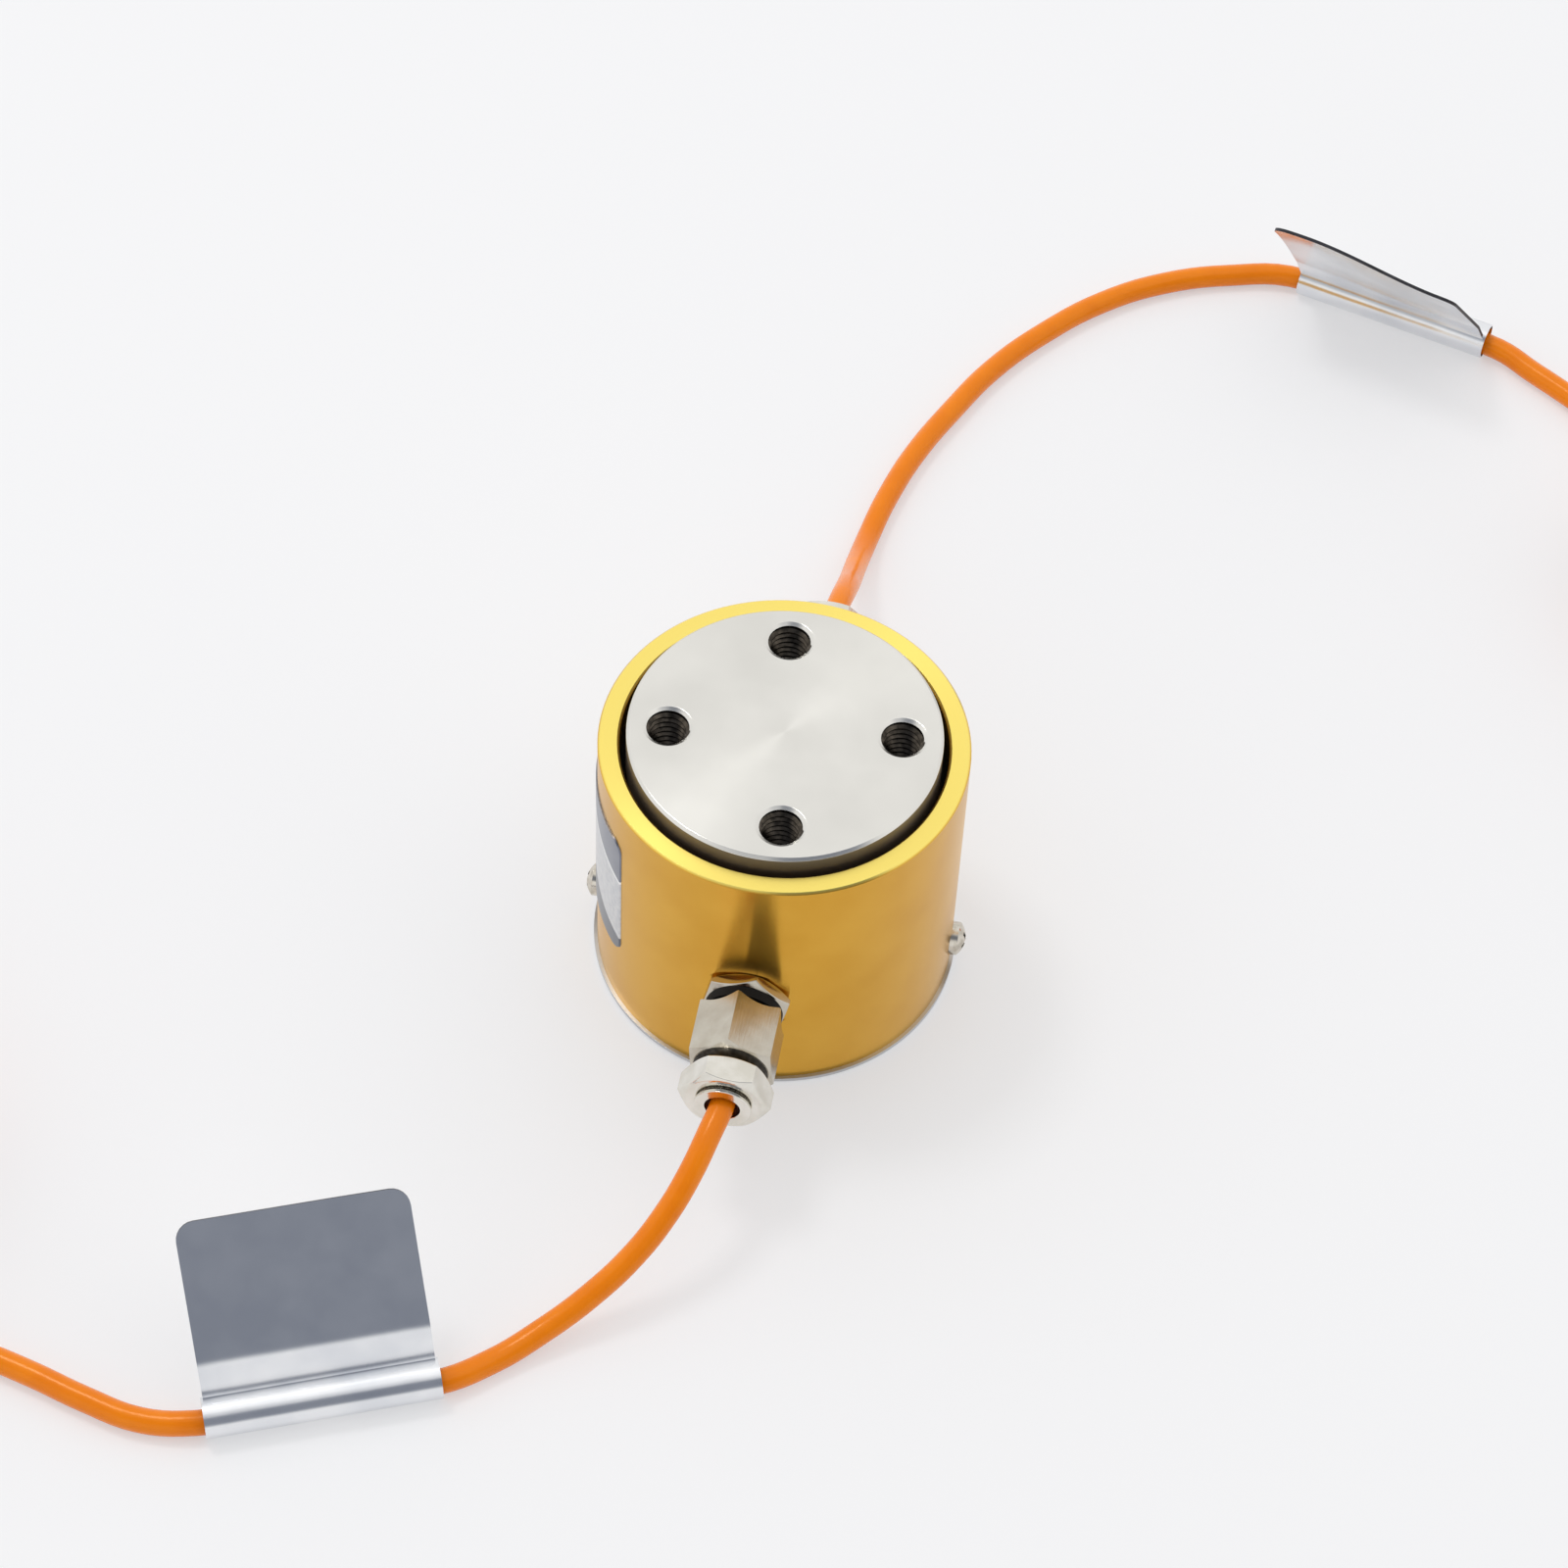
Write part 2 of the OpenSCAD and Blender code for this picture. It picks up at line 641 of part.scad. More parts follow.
// Two leads to each of the four gauges
module gauge_leads() {
    color("saddlebrown") for (side = [0:3], y = [-lead_pitch / 2, lead_pitch / 2]) {
        z = side % 2 == 0 ? lower_window_z : upper_window_z;
        rotate([0, 0, 90 * side]) translate([0, y, 0]) gauge_lead(z - gauge_h / 2);
    }
}

// Stripped cores that leave a cable's end along +X and bend down to the board
module core_wires() {
    color("white") for (i = [0:cores - 1]) {
        y = (i - (cores - 1) / 2) * core_pitch;
        translate([-core_start, y, gland_z]) {
            rotate([0, 90, 0]) cylinder(d = core_d, h = core_out, $fn = 16);
            translate([core_out, 0, 0]) quarter_bend(core_d, core_bend);
            translate([core_out + core_bend, 0, board_top - gland_z])
                cylinder(d = core_d, h = gland_z - core_bend - board_top, $fn = 16);
        }
    }
}
module front_core_wires() rotate([0, 0, 90]) core_wires();
module rear_core_wires() rotate([0, 0, -90]) core_wires();

// ---------------------------------------------------------------- glands, drawn along +Z

module gland_locknut() {
    color("gainsboro") translate([0, 0, gland_seat]) difference() {
        rotate([0, 0, locknut_turn]) turned_hexagon(locknut_t);
        translate([0, 0, -cut]) cylinder(d = gland_thread, h = locknut_t + 2 * cut);
    }
}

module gland_seal_ring() {
    color("dimgray") translate([0, 0, locknut_end]) difference() {
        cylinder(d = seal_ring_d, h = seal_ring_t);
        translate([0, 0, -cut]) cylinder(d = gland_thread, h = seal_ring_t + 2 * cut);
    }
}

// Body: screwed spigot, hexagon, neck and the male thread under the nut
module gland_body() {
    color("gainsboro") difference() {
        union() {
            translate([0, 0, gland_inner_end])
                cylinder(r = gland_male_r, h = male_end - gland_inner_end);
            translate([0, 0, seal_ring_end]) rotate([0, 0, gland_hex_turn])
                turned_hexagon(gland_hex_l, square_start = true);
            translate([0, 0, gland_hex_end - cut]) cylinder(d = neck_d, h = neck_l + cut);
        }
        translate([0, 0, gland_inner_end - cut]) cylinder(d = gland_bore, h = housing_d);
        translate([0, 0, grommet_start]) cylinder(d = grommet_d, h = housing_d);
    }
}

module gland_grommet() {
    color("dimgray") translate([0, 0, grommet_start]) difference() {
        cylinder(d = grommet_d, h = grommet_l);
        translate([0, 0, -cut]) cylinder(d = cable_d, h = grommet_l + 2 * cut);
    }
}

// Nut: threaded over the body, with a shoulder on the grommet and a grooved round boss
module gland_nut() {
    groove_end = nut_end + boss_groove_w;
    color("gainsboro") difference() {
        union() {
            translate([0, 0, neck_end]) rotate([0, 0, gland_nut_turn]) turned_hexagon(gland_nut_l);
            translate([0, 0, nut_end - cut / 2])
                cylinder(d = boss_d - 2 * boss_groove_deep, h = boss_groove_w + cut);
            translate([0, 0, groove_end]) cylinder(d = boss_d, h = boss_h - boss_groove_w);
        }
        translate([0, 0, neck_end - cut]) cylinder(d = gland_thread, h = shoulder - neck_end + cut);
        cylinder(d = mouth_d, h = gland_tip + cut);
    }
}

module front_gland_locknut() facing_front(gland_z) gland_locknut();
module front_gland_seal_ring() facing_front(gland_z) gland_seal_ring();
module front_gland_body() facing_front(gland_z) gland_body();
module front_gland_grommet() facing_front(gland_z) gland_grommet();
module front_gland_nut() facing_front(gland_z) gland_nut();
module rear_gland_locknut() facing_rear(gland_z) gland_locknut();
module rear_gland_seal_ring() facing_rear(gland_z) gland_seal_ring();
module rear_gland_body() facing_rear(gland_z) gland_body();
module rear_gland_grommet() facing_rear(gland_z) gland_grommet();
module rear_gland_nut() facing_rear(gland_z) gland_nut();

// ---------------------------------------------------------------- cables

module front_cable() color("darkorange") swept_tube(front_route, cable_r);
module rear_cable() color("darkorange") swept_tube(rear_route, cable_r);

// Solid outer shape of the wound turns
module cable_coil() {
    c = coil_corner;
    color("darkorange") rotate_extrude() polygon([
        [coil_inner_r + c, strap_t], [coil_outer_r - c, strap_t], [coil_outer_r, strap_t + c],
        [coil_outer_r, coil_top - c], [coil_outer_r - c, coil_top], [coil_inner_r + c, coil_top],
        [coil_inner_r, coil_top - c], [coil_inner_r, strap_t + c]
    ]);
}

// Two straps round the coil's section, on opposite sides
module coil_straps() {
    sweep = strap_w / (PI * coil_mean_d) * 360;
    color("dimgray") for (side = [0, 180])
        rotate([0, 0, side - sweep / 2]) rotate_extrude(angle = sweep) difference() {
            translate([coil_inner_r - strap_t, 0])
                square([coil_outer_r - coil_inner_r + 2 * strap_t, coil_h + 2 * strap_t]);
            translate([coil_inner_r, strap_t])
                square([coil_outer_r - coil_inner_r, coil_h]);
        }
}

// Places what is drawn along +Z from the origin at the end of the last part turn
module at_tail_end()
    rotate([0, 0, tail_from]) translate([coil_mean_d / 2, 0, tail_z]) rotate([90, 0, 0]) children();

// Last part turn of the cable on top of the coil
module cable_tail() {
    color("darkorange") {
        rotate([0, 0, tail_from]) rotate_extrude(angle = tail_sweep)
            translate([coil_mean_d / 2, tail_z]) circle(cable_r);
        at_tail_end() cylinder(r = cable_r, h = end_jacket_l);
    }
}

// Shrunk sleeve over the end of the jacket
module end_sleeve() {
    color("dimgray") at_tail_end() difference() {
        cylinder(r = cable_r + end_sleeve_t, h = end_sleeve_l);
        translate([0, 0, -cut]) cylinder(r = cable_r, h = end_jacket_l + cut);
    }
}

// Bare cores at the end of the cable
module end_cores() {
    color("silver") at_tail_end()
        for (i = [0:cores - 1]) rotate([0, 0, 360 * i / cores]) translate([core_d, 0, end_sleeve_l])
            cylinder(d = core_d, h = end_core_l, $fn = 16);
}

module at_front_coil() translate(front_coil_at) children();
module at_rear_coil() translate(rear_coil_at) rotate([0, 0, 180]) children();
module front_cable_coil() at_front_coil() cable_coil();
module front_coil_straps() at_front_coil() coil_straps();
module front_cable_tail() at_front_coil() cable_tail();
module front_end_sleeve() at_front_coil() end_sleeve();
module front_end_cores() at_front_coil() end_cores();
module rear_cable_coil() at_rear_coil() cable_coil();
module rear_coil_straps() at_rear_coil() coil_straps();
module rear_cable_tail() at_rear_coil() cable_tail();
module rear_end_sleeve() at_rear_coil() end_sleeve();
module rear_end_cores() at_rear_coil() end_cores();

// Film folded into a loop round the cable and a flag of two layers that leans off it
module cable_tag(from, to, lean, skew) {
    middle = (from + to) / 2;
    turn = atan2(to[1] - from[1], to[0] - from[0]);
    color("lightgray") translate([middle[0], middle[1], tag_outer_r]) rotate([0, 0, turn]) {
        rotate([0, 90, 0]) translate([0, 0, -tag_l / 2]) difference() {
            cylinder(r = tag_outer_r, h = tag_l);
            translate([0, 0, -cut]) cylinder(r = tag_inner_r, h = tag_l + 2 * cut);
        }
        rotate([lean, 0, 0]) translate([0, 0, -film_t]) linear_extrude(2 * film_t)
            polygon(flag_outline(skew));
    }
}

// Flag from the loop's wall outwards: its sides lean by the skew and its free corners are round
function flag_outline(skew) =
    let (
        root = tag_inner_r + film_t / 2,
        half = tag_l / 2 - flag_set,
        y = tag_outer_r + flag_w - flag_r,
        drift = (y - root) * tan(skew),
        inset = flag_r / cos(skew)
    )
    concat(
        [[-half, root], [half, root]],
        flag_corner([half - drift - inset, y], skew, 90),
        flag_corner([-half - drift + inset, y], 90, 180 + skew)
    );
function flag_corner(c, from, to) =
    [for (i = [0:6]) let (a = from + (to - from) * i / 6) c + flag_r * [cos(a), sin(a)]];
module front_cable_tag() cable_tag(front_tag_to, front_tag_from, front_flag_lean, front_flag_skew);
module rear_cable_tag() cable_tag(rear_tag_from, rear_tag_to, rear_flag_lean, rear_flag_skew);

base_plate();
sensing_element();
element_screws();
housing_sleeve();
sleeve_screw_left();
sleeve_screw_right();
nameplate();
base_o_ring();
gap_seal();
strain_gauge_left();
strain_gauge_right();
strain_gauge_front();
strain_gauge_rear();
front_terminal_board();
rear_terminal_board();
board_screws();
gauge_leads();
front_core_wires();
rear_core_wires();
front_gland_locknut();
front_gland_seal_ring();
front_gland_body();
front_gland_grommet();
front_gland_nut();
rear_gland_locknut();
rear_gland_seal_ring();
rear_gland_body();
rear_gland_grommet();
rear_gland_nut();
front_cable();
front_cable_coil();
front_cable_tail();
front_coil_straps();
front_cable_tag();
front_end_sleeve();
front_end_cores();
rear_cable();
rear_cable_coil();
rear_cable_tail();
rear_coil_straps();
rear_cable_tag();
rear_end_sleeve();
rear_end_cores();
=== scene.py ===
import math

import bmesh
import bpy
from mathutils import Matrix, Vector


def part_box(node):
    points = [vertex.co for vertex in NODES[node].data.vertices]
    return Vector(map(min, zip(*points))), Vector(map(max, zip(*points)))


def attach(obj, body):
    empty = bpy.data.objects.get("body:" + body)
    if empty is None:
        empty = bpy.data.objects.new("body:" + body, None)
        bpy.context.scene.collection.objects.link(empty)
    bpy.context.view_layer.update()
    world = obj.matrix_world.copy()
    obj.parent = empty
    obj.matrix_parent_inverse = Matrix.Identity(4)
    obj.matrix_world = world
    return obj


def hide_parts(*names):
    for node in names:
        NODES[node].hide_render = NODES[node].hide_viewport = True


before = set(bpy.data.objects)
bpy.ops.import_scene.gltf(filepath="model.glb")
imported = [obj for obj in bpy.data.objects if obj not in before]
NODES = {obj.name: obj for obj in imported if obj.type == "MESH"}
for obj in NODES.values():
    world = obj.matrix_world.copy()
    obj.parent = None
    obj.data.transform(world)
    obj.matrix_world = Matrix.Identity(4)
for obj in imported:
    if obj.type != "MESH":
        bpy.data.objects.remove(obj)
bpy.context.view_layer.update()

MM = 0.001

# Sizes that the fitted pieces share with the construction
CABLE_R = 1.7 * MM
TAG_LOOP_R = 2.75 * MM
GLAND_TIP_Y = 42.59 * MM
GLAND_Z = 18.5 * MM
FLANGE_TOP = 46 * MM
# Everything further out than this is the flange's turned side
FLANGE_SIDE_R = 20.9 * MM
SLEEVE_TOP = 43.6 * MM
# Just below and above the holes for the screws and the glands
SLEEVE_BANDS = (3.9 * MM, 7.5 * MM, 13.2 * MM, 23.8 * MM)
THREAD_PITCH = 1.0 * MM
THREAD_ROOT_R = 2.95 * MM
THREAD_CREST_R = 2.5 * MM
# How far the ridges reach into the wall, and the steps they are swept in
THREAD_SINK = 0.02 * MM
THREAD_STEPS = 32
# Half the width of a ridge at its root, in pitches, and its width at the crest in root widths
RIDGE_HALF = 0.43
CREST_SHARE = 0.2
# Where the threads begin at their lowest, and their length: in the flange and in the base plate
FLANGE_THREAD_DEEP = 8.6 * MM
FLANGE_THREAD_LENGTH = 8 * MM
BASE_THREAD_START = 0.9 * MM
BASE_THREAD_LENGTH = 6 * MM
HOLE_CIRCLE_R = 15.65 * MM
HOLE_TURN = math.radians(8)
HOLE_MOUTH_R = 3.2 * MM
HOLE_MOUTH_DEEP = 0.7 * MM
# The mouths as the countersink leaves them: shallower and a little wider
MOUTH_RISE = 0.3 * MM
MOUTH_SPREAD = 1.06
# Gland: where its hexagon starts, the cone sunk into that end, and the neck under the nut
GLAND_HEX_START = 27.787 * MM
DISH_R = 6.2 * MM
DISH_DEEP = 1.0 * MM
DISH_SLOPE = 1.1
NECK_R = 4.5 * MM
NECK_CONE_R = 5.1 * MM
NECK_CONE_Y = 36.4 * MM
NECK_GROOVE_R = 4.1 * MM
NECK_GROOVE_Y = 37.2 * MM
# What lies beyond the cone and within this distance of the gland's axis is painted dark: painted shade
# between the hexagon and the nut
NECK_DARK_R = NECK_CONE_R + 0.2 * MM
# Groove behind the boss on the face of the nut, painted dark as painted shade
BOSS_GROOVE_R = 3.45 * MM
BOSS_GROOVE_Y = (41.85 * MM, 42.05 * MM)
# Printed plate: its panel's edge where Y is nought, that edge's fall to the front, and its foot
PANEL_EDGE = 33.6 * MM
PANEL_FALL = 0.3
PANEL_FOOT = 20.5 * MM
# The pale line under the panel, and the softness of the printed edges
PANEL_LINE = 0.5 * MM
PRINT_SOFTNESS = 0.05 * MM
# The cross recesses of the screws that hold the sleeve, painted dark as painted shade
SCREW_Z = 5.7 * MM
RECESS_R = 1.45 * MM
RECESS_FLOOR_X = 26.3 * MM
# Spacing of the lines in the gauges' foil grid
GRID_PITCH = 0.6 * MM
# The grid a tag's film is cut into: on either side of its middle, 1 mm apart, and outwards, in mm
TAG_CUTS = 14
TAG_ROWS = 26
TAG_ROW = 0.8
TAG_LOOP_END = 2.8
# Out from here a tag's film is flat and shows its cut edge
TAG_EDGE_START = TAG_LOOP_R * 1.1
# Widths of the broken edges
TURNED_EDGE = 0.06 * MM
SMALL_EDGE = 0.08 * MM
NUT_EDGE = 0.1 * MM
STRAP_EDGE = 0.15 * MM
# How near a point must lie to count as one of a ring or an edge
NEAR = 0.05 * MM
# Smaller than any real step: keeps coinciding faces apart and closes seams
HAIR = 0.001 * MM
# Points and faces of a solid that are taken together in its copy
MERGE = 0.002 * MM
FLAT_WITHIN = math.radians(0.3)
# A face whose normal has less than this along an axis runs along that axis
RUNS_ALONG = 0.3


# ------------------------------------------------------------------ camera

def add_camera():
    """A 101 mm lens, 623 mm from the point it aims at, looking down on the front gland."""
    turn = math.radians(7.6)
    elevation = math.radians(52.61)
    roll = math.radians(3.157)
    distance = 623.4 * MM
    aim_right, aim_up = 1.36 * MM, 20.93 * MM
    back = Vector((0, -math.cos(elevation), math.sin(elevation)))
    level = Vector((1, 0, 0))
    upright = back.cross(level)
    right = level * math.cos(roll) + upright * math.sin(roll)
    up = upright * math.cos(roll) - level * math.sin(roll)
    place = back * distance + right * aim_right + up * aim_up
    bpy.ops.object.camera_add()
    camera = bpy.context.object
    axes = Matrix((right, up, back)).transposed().to_4x4()
    camera.matrix_world = Matrix.Rotation(turn, 4, "Z") @ Matrix.Translation(place) @ axes
    camera.data.sensor_width = 36
    camera.data.lens = 101.25
    camera.data.clip_end = 20
    bpy.context.scene.camera = camera


# ------------------------------------------------------------------ cables

# Heights of a cable's centreline in mm: in its gland, on the floor, in its tag and in its coil
EXIT = 18.5
LAY = 1.7
TAG_LAY = 1.95
LOW_TURN = 2.3
# Below this height the cable lies level
ON_FLOOR = 2 * MM
# Routes in mm, from inside the gland to the coil
CABLE_START = 21.1
FRONT_ROUTE = [
    (0, -CABLE_START, EXIT), (0, -27, EXIT), (0, -34, EXIT), (0, -41.5, EXIT),
    (-1, -46.5, 17.8), (-2.5, -51.5, 15.5), (-4.6, -56, 12.5), (-8, -61, 8.8),
    (-13, -66.4, 5.2), (-18.5, -71.5, 2.7), (-24, -76.5, LAY), (-28.8, -80.3, TAG_LAY),
    (-36.4, -83.5, TAG_LAY), (-44.2, -86.7, TAG_LAY), (-52, -89.9, TAG_LAY), (-59.6, -93, TAG_LAY),
    (-66.8, -93.8, LAY), (-74.6, -92.2, LAY), (-82.2, -90, LAY), (-90, -88.2, LAY),
    (-98.5, -87.2, LAY), (-107, -87, 1.9), (-114, -87, 2.2), (-121, -87, LOW_TURN),
]
REAR_ROUTE = [
    (0, CABLE_START, EXIT), (0, 27, EXIT), (0, 34, EXIT), (0, 41.5, EXIT),
    (0.5, 47, 17.4), (0.8, 52.5, 14.4), (0.7, 58, 10), (0.6, 63.5, 6.2),
    (0.8, 70, 2.8), (1.5, 76, LAY), (3, 83.5, LAY), (5.5, 92, LAY), (9.5, 101.5, LAY),
    (14.5, 111.5, LAY), (21.4, 121, LAY), (29.5, 129.4, LAY), (38.5, 135.5, LAY),
    (48.5, 139.4, LAY), (58, 141, TAG_LAY), (66.5, 138.8, TAG_LAY), (75, 136.5, TAG_LAY),
    (83.5, 134.2, TAG_LAY), (92, 132, TAG_LAY), (98, 128.3, LAY), (104.5, 124, LAY),
    (112, 118.6, LAY), (120.5, 115.5, 1.9), (129, 114.5, LOW_TURN),
]
# The coils, and the parts of a turn in which a turn shifts, the end climbs and the end lies on top
TURNS_WIDE = 3
TURNS_HIGH = 5
POINTS_PER_TURN = 16
SHIFT_PART = 1 / 3
CLIMB_PART = 1 / 3
TAIL_PART = 1 / 4
TOP_PLAY = 0.2 * MM
END_JACKET = 6 * MM


def eased(t):
    """0 to 1, starting and ending gently."""
    t = min(max(t, 0), 1)
    return t * t * (3 - 2 * t)


def slot_of_turn(n):
    """Which ring and layer a turn lies in: layers are filled inwards and outwards in turn."""
    layer, place = divmod(n, TURNS_WIDE)
    ring = place if layer % 2 == 0 else TURNS_WIDE - 1 - place
    return ring, layer


def coil_path(coil_node, entry_angle):
    """Points of the wound turns, clockwise from the entry, and of the end that lies on top."""
    low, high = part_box(coil_node)
    centre = (Vector(low) + Vector(high)) / 2
    outer_r = (high[0] - low[0]) / 2 - CABLE_R
    turns = TURNS_WIDE * TURNS_HIGH
    tail_r = outer_r - (TURNS_WIDE - 1) * CABLE_R
    tail_z = high[2] + CABLE_R + TOP_PLAY

    def radius_and_height(n):
        if n >= turns:
            return tail_r, tail_z
        ring, layer = slot_of_turn(n)
        return outer_r - ring * 2 * CABLE_R, low[2] + (2 * layer + 1) * CABLE_R

    path = []
    steps = round((turns + CLIMB_PART + TAIL_PART) * POINTS_PER_TURN)
    for step in range(steps + 1):
        turned = step / POINTS_PER_TURN
        n = min(int(turned), turns)
        part = turned - n
        here = radius_and_height(n)
        if n < turns - 1:
            after, share = radius_and_height(n + 1), eased((part - 1 + SHIFT_PART) / SHIFT_PART)
        elif n == turns - 1:
            after, share = here, 0
        else:
            here, after = radius_and_height(turns - 1), (tail_r, tail_z)
            share = eased(part / CLIMB_PART)
        r = here[0] + (after[0] - here[0]) * share
        z = here[1] + (after[1] - here[1]) * share
        angle = entry_angle - 2 * math.pi * turned
        path.append(Vector((centre.x + r * math.cos(angle), centre.y + r * math.sin(angle), z)))
    heading = Vector((math.sin(angle), -math.cos(angle), 0))
    path.append(path[-1] + heading * END_JACKET)
    return path


def add_cable(name, route, coil_node, entry_angle):
    """A cable as one smooth curve: out of its gland, along the floor and into its coil."""
    points = [Vector(p) * MM for p in route] + coil_path(coil_node, entry_angle)
    bpy.ops.curve.primitive_bezier_curve_add()
    cable = bpy.context.object
    cable.name = name
    curve = cable.data
    spline = curve.splines[0]
    spline.bezier_points.add(len(points) - len(spline.bezier_points))
    for knot, place in zip(spline.bezier_points, points):
        knot.co = place
        knot.handle_left_type = "AUTO"
        knot.handle_right_type = "AUTO"
    bpy.ops.object.mode_set(mode="EDIT")
    bpy.ops.curve.select_all(action="SELECT")
    bpy.ops.curve.handle_type_set(type="AUTOMATIC")
    bpy.ops.object.mode_set(mode="OBJECT")
    # Leaving edit mode makes the spline anew, so it is fetched again
    for knot in curve.splines[0].bezier_points:
        if knot.co.z < ON_FLOOR:
            knot.handle_left_type = "FREE"
            knot.handle_right_type = "FREE"
            knot.handle_left.z = knot.co.z
            knot.handle_right.z = knot.co.z
    curve.resolution_u = 5
    curve.bevel_depth = CABLE_R
    curve.bevel_resolution = 6
    curve.use_fill_caps = True
    curve.twist_mode = "Z_UP"
    return cable


# ------------------------------------------------------------------ materials

def linear(hex_colour):
    """sRGB hex to the linear colour that a shader takes."""
    channels = [int(hex_colour[i:i + 2], 16) / 255 for i in (1, 3, 5)]
    return tuple(c / 12.92 if c <= 0.04045 else ((c + 0.055) / 1.055) ** 2.4 for c in channels) + (1,)


def add_node(tree, kind, inputs=None, **settings):
    """Adds a node, sets what is given and links each input that is another node's socket."""
    node = tree.nodes.new(kind)
    for key, value in settings.items():
        setattr(node, key, value)
    for key, value in (inputs or {}).items():
        if isinstance(value, bpy.types.NodeSocket):
            tree.links.new(value, node.inputs[key])
        else:
            node.inputs[key].default_value = value
    return node


def new_material(name, **sockets):
    """A material with one surface shader, its single values set on the shader's own sockets."""
    material = bpy.data.materials.new(name)
    material.use_nodes = True
    tree = material.node_tree
    shader = tree.nodes["Principled BSDF"]
    for key, value in sockets.items():
        shader.inputs[key.replace("_", " ")].default_value = value
    return material, tree, shader


def object_place(tree, scale=(1, 1, 1)):
    """Object coordinates in metres, drawn out or flattened by a scale along each axis."""
    place = add_node(tree, "ShaderNodeTexCoord").outputs["Object"]
    if scale == (1, 1, 1):
        return place
    return add_node(tree, "ShaderNodeMapping", {"Vector": place, "Scale": scale}).outputs[0]


def blend(tree, share, colour_a, colour_b):
    """Mixes two colours, each a hex value or another node's socket."""
    ends = [linear(c) if isinstance(c, str) else c for c in (colour_a, colour_b)]
    mix = add_node(tree, "ShaderNodeMix", {0: share, 6: ends[0], 7: ends[1]}, data_type="RGBA")
    return mix.outputs[2]


def patches(tree, size, low=0.35, high=0.65, detail=3.0, scale=(1, 1, 1)):
    """0 to 1 in soft patches of the given size in millimetres."""
    noise = add_node(tree, "ShaderNodeTexNoise", {
        "Vector": object_place(tree, scale), "Scale": 1 / (size * MM), "Detail": detail})
    return add_node(tree, "ShaderNodeMapRange", {
        "Value": noise.outputs["Fac"], "From Min": low, "From Max": high}).outputs[0]


def step_at(tree, value, low, high):
    """0 below low, 1 above high, even between."""
    ramp = add_node(tree, "ShaderNodeMapRange", {"Value": value, "From Min": low, "From Max": high})
    return ramp.outputs[0]


def relief(tree, shader, height_value, height):
    """Fine relief of the given height in millimetres."""
    bump = add_node(tree, "ShaderNodeBump", {
        "Height": height_value, "Distance": height * MM, "Strength": 1.0})
    tree.links.new(bump.outputs[0], shader.inputs["Normal"])


def axis_distance(tree):
    """Distance from the sensor's axis."""
    flat = object_place(tree, (1, 1, 0))
    return add_node(tree, "ShaderNodeVectorMath", {0: flat}, operation="LENGTH").outputs["Value"]


def anodised_aluminium():
    """Gold anodised aluminium, turned: its end face is painted paler yellow, a painted highlight."""
    material, tree, shader = new_material(
        "anodised_aluminium", Metallic=1.0, Roughness=0.24, Anisotropic=0.7, Anisotropic_Rotation=0.25)
    round_axis = add_node(tree, "ShaderNodeTangent", direction_type="RADIAL", axis="Z")
    tree.links.new(round_axis.outputs[0], shader.inputs["Tangent"])
    height = add_node(tree, "ShaderNodeSeparateXYZ", {0: object_place(tree)}).outputs["Z"]
    side = blend(tree, patches(tree, 12, detail=4.0), "#D6A035", "#DEAA3F")
    # Painted highlight: the top end face gets a pale yellow in place of the light it catches
    end_face_highlight = step_at(tree, height, SLEEVE_TOP - 0.3 * MM, SLEEVE_TOP - 0.05 * MM)
    tree.links.new(blend(tree, end_face_highlight, side, "#FEE67A"), shader.inputs["Base Color"])
    # Turning marks 0.15 mm apart
    marks = patches(tree, 0.15, scale=(0.02, 0.02, 1), detail=1.0)
    relief(tree, shader, marks, 0.001)
    return material


def turned_steel(name, shade_a, shade_b, roughness):
    """Stainless steel faced on a lathe: rings about the axis that draw highlights out to a fan."""
    material, tree, shader = new_material(
        name, Metallic=1.0, Roughness=roughness, Anisotropic=0.65, Anisotropic_Rotation=0.25)
    round_axis = add_node(tree, "ShaderNodeTangent", direction_type="RADIAL", axis="Z")
    tree.links.new(round_axis.outputs[0], shader.inputs["Tangent"])
    colour = blend(tree, patches(tree, 11, 0.3, 0.7), shade_a, shade_b)
    tree.links.new(colour, shader.inputs["Base Color"])
    # Facing marks 0.2 mm apart
    rings = add_node(tree, "ShaderNodeTexNoise", {
        "W": axis_distance(tree), "Scale": 1 / (0.2 * MM), "Detail": 1.0}, noise_dimensions="1D")
    relief(tree, shader, rings.outputs["Fac"], 0.0012)
    return material


def steel_in_painted_shade(name, shade_a, shade_b, roughness):
    """Dark steel in soft patches: painted shade for holes, recesses and gaps; the thread crests get a
    slightly brighter copy.
    """
    material, tree, shader = new_material(name, Metallic=1.0, Roughness=roughness)
    tree.links.new(blend(tree, patches(tree, 0.8), shade_a, shade_b), shader.inputs["Base Color"])
    return material


def nickel_plate(name, shade_a, shade_b, roughness):
    """Nickel-plated brass, drawn hexagon bar: warm grey, with draw marks along the bar."""
    material, tree, shader = new_material(name, Metallic=1.0, Roughness=roughness)
    colour = blend(tree, patches(tree, 3.5), shade_a, shade_b)
    tree.links.new(colour, shader.inputs["Base Color"])
    # Draw marks 0.25 mm apart run along the gland
    relief(tree, shader, patches(tree, 0.25, scale=(1, 0.08, 1)), 0.004)
    return material


def screw_steel():
    """Nickel-plated pressed steel, smooth from tumbling."""
    material, tree, shader = new_material("screw_steel", Metallic=1.0, Roughness=0.12)
    tree.links.new(blend(tree, patches(tree, 1), "#DCD6CA", "#C2BBAE"), shader.inputs["Base Color"])
    relief(tree, shader, patches(tree, 0.4), 0.002)
    return material


def black_oxide():
    """Alloy steel with a black oxide finish: dark and slightly oily."""
    material, tree, shader = new_material("black_oxide", Metallic=0.8, Roughness=0.38)
    tree.links.new(blend(tree, patches(tree, 1), "#1B1B1C", "#262627"), shader.inputs["Base Color"])
    return material


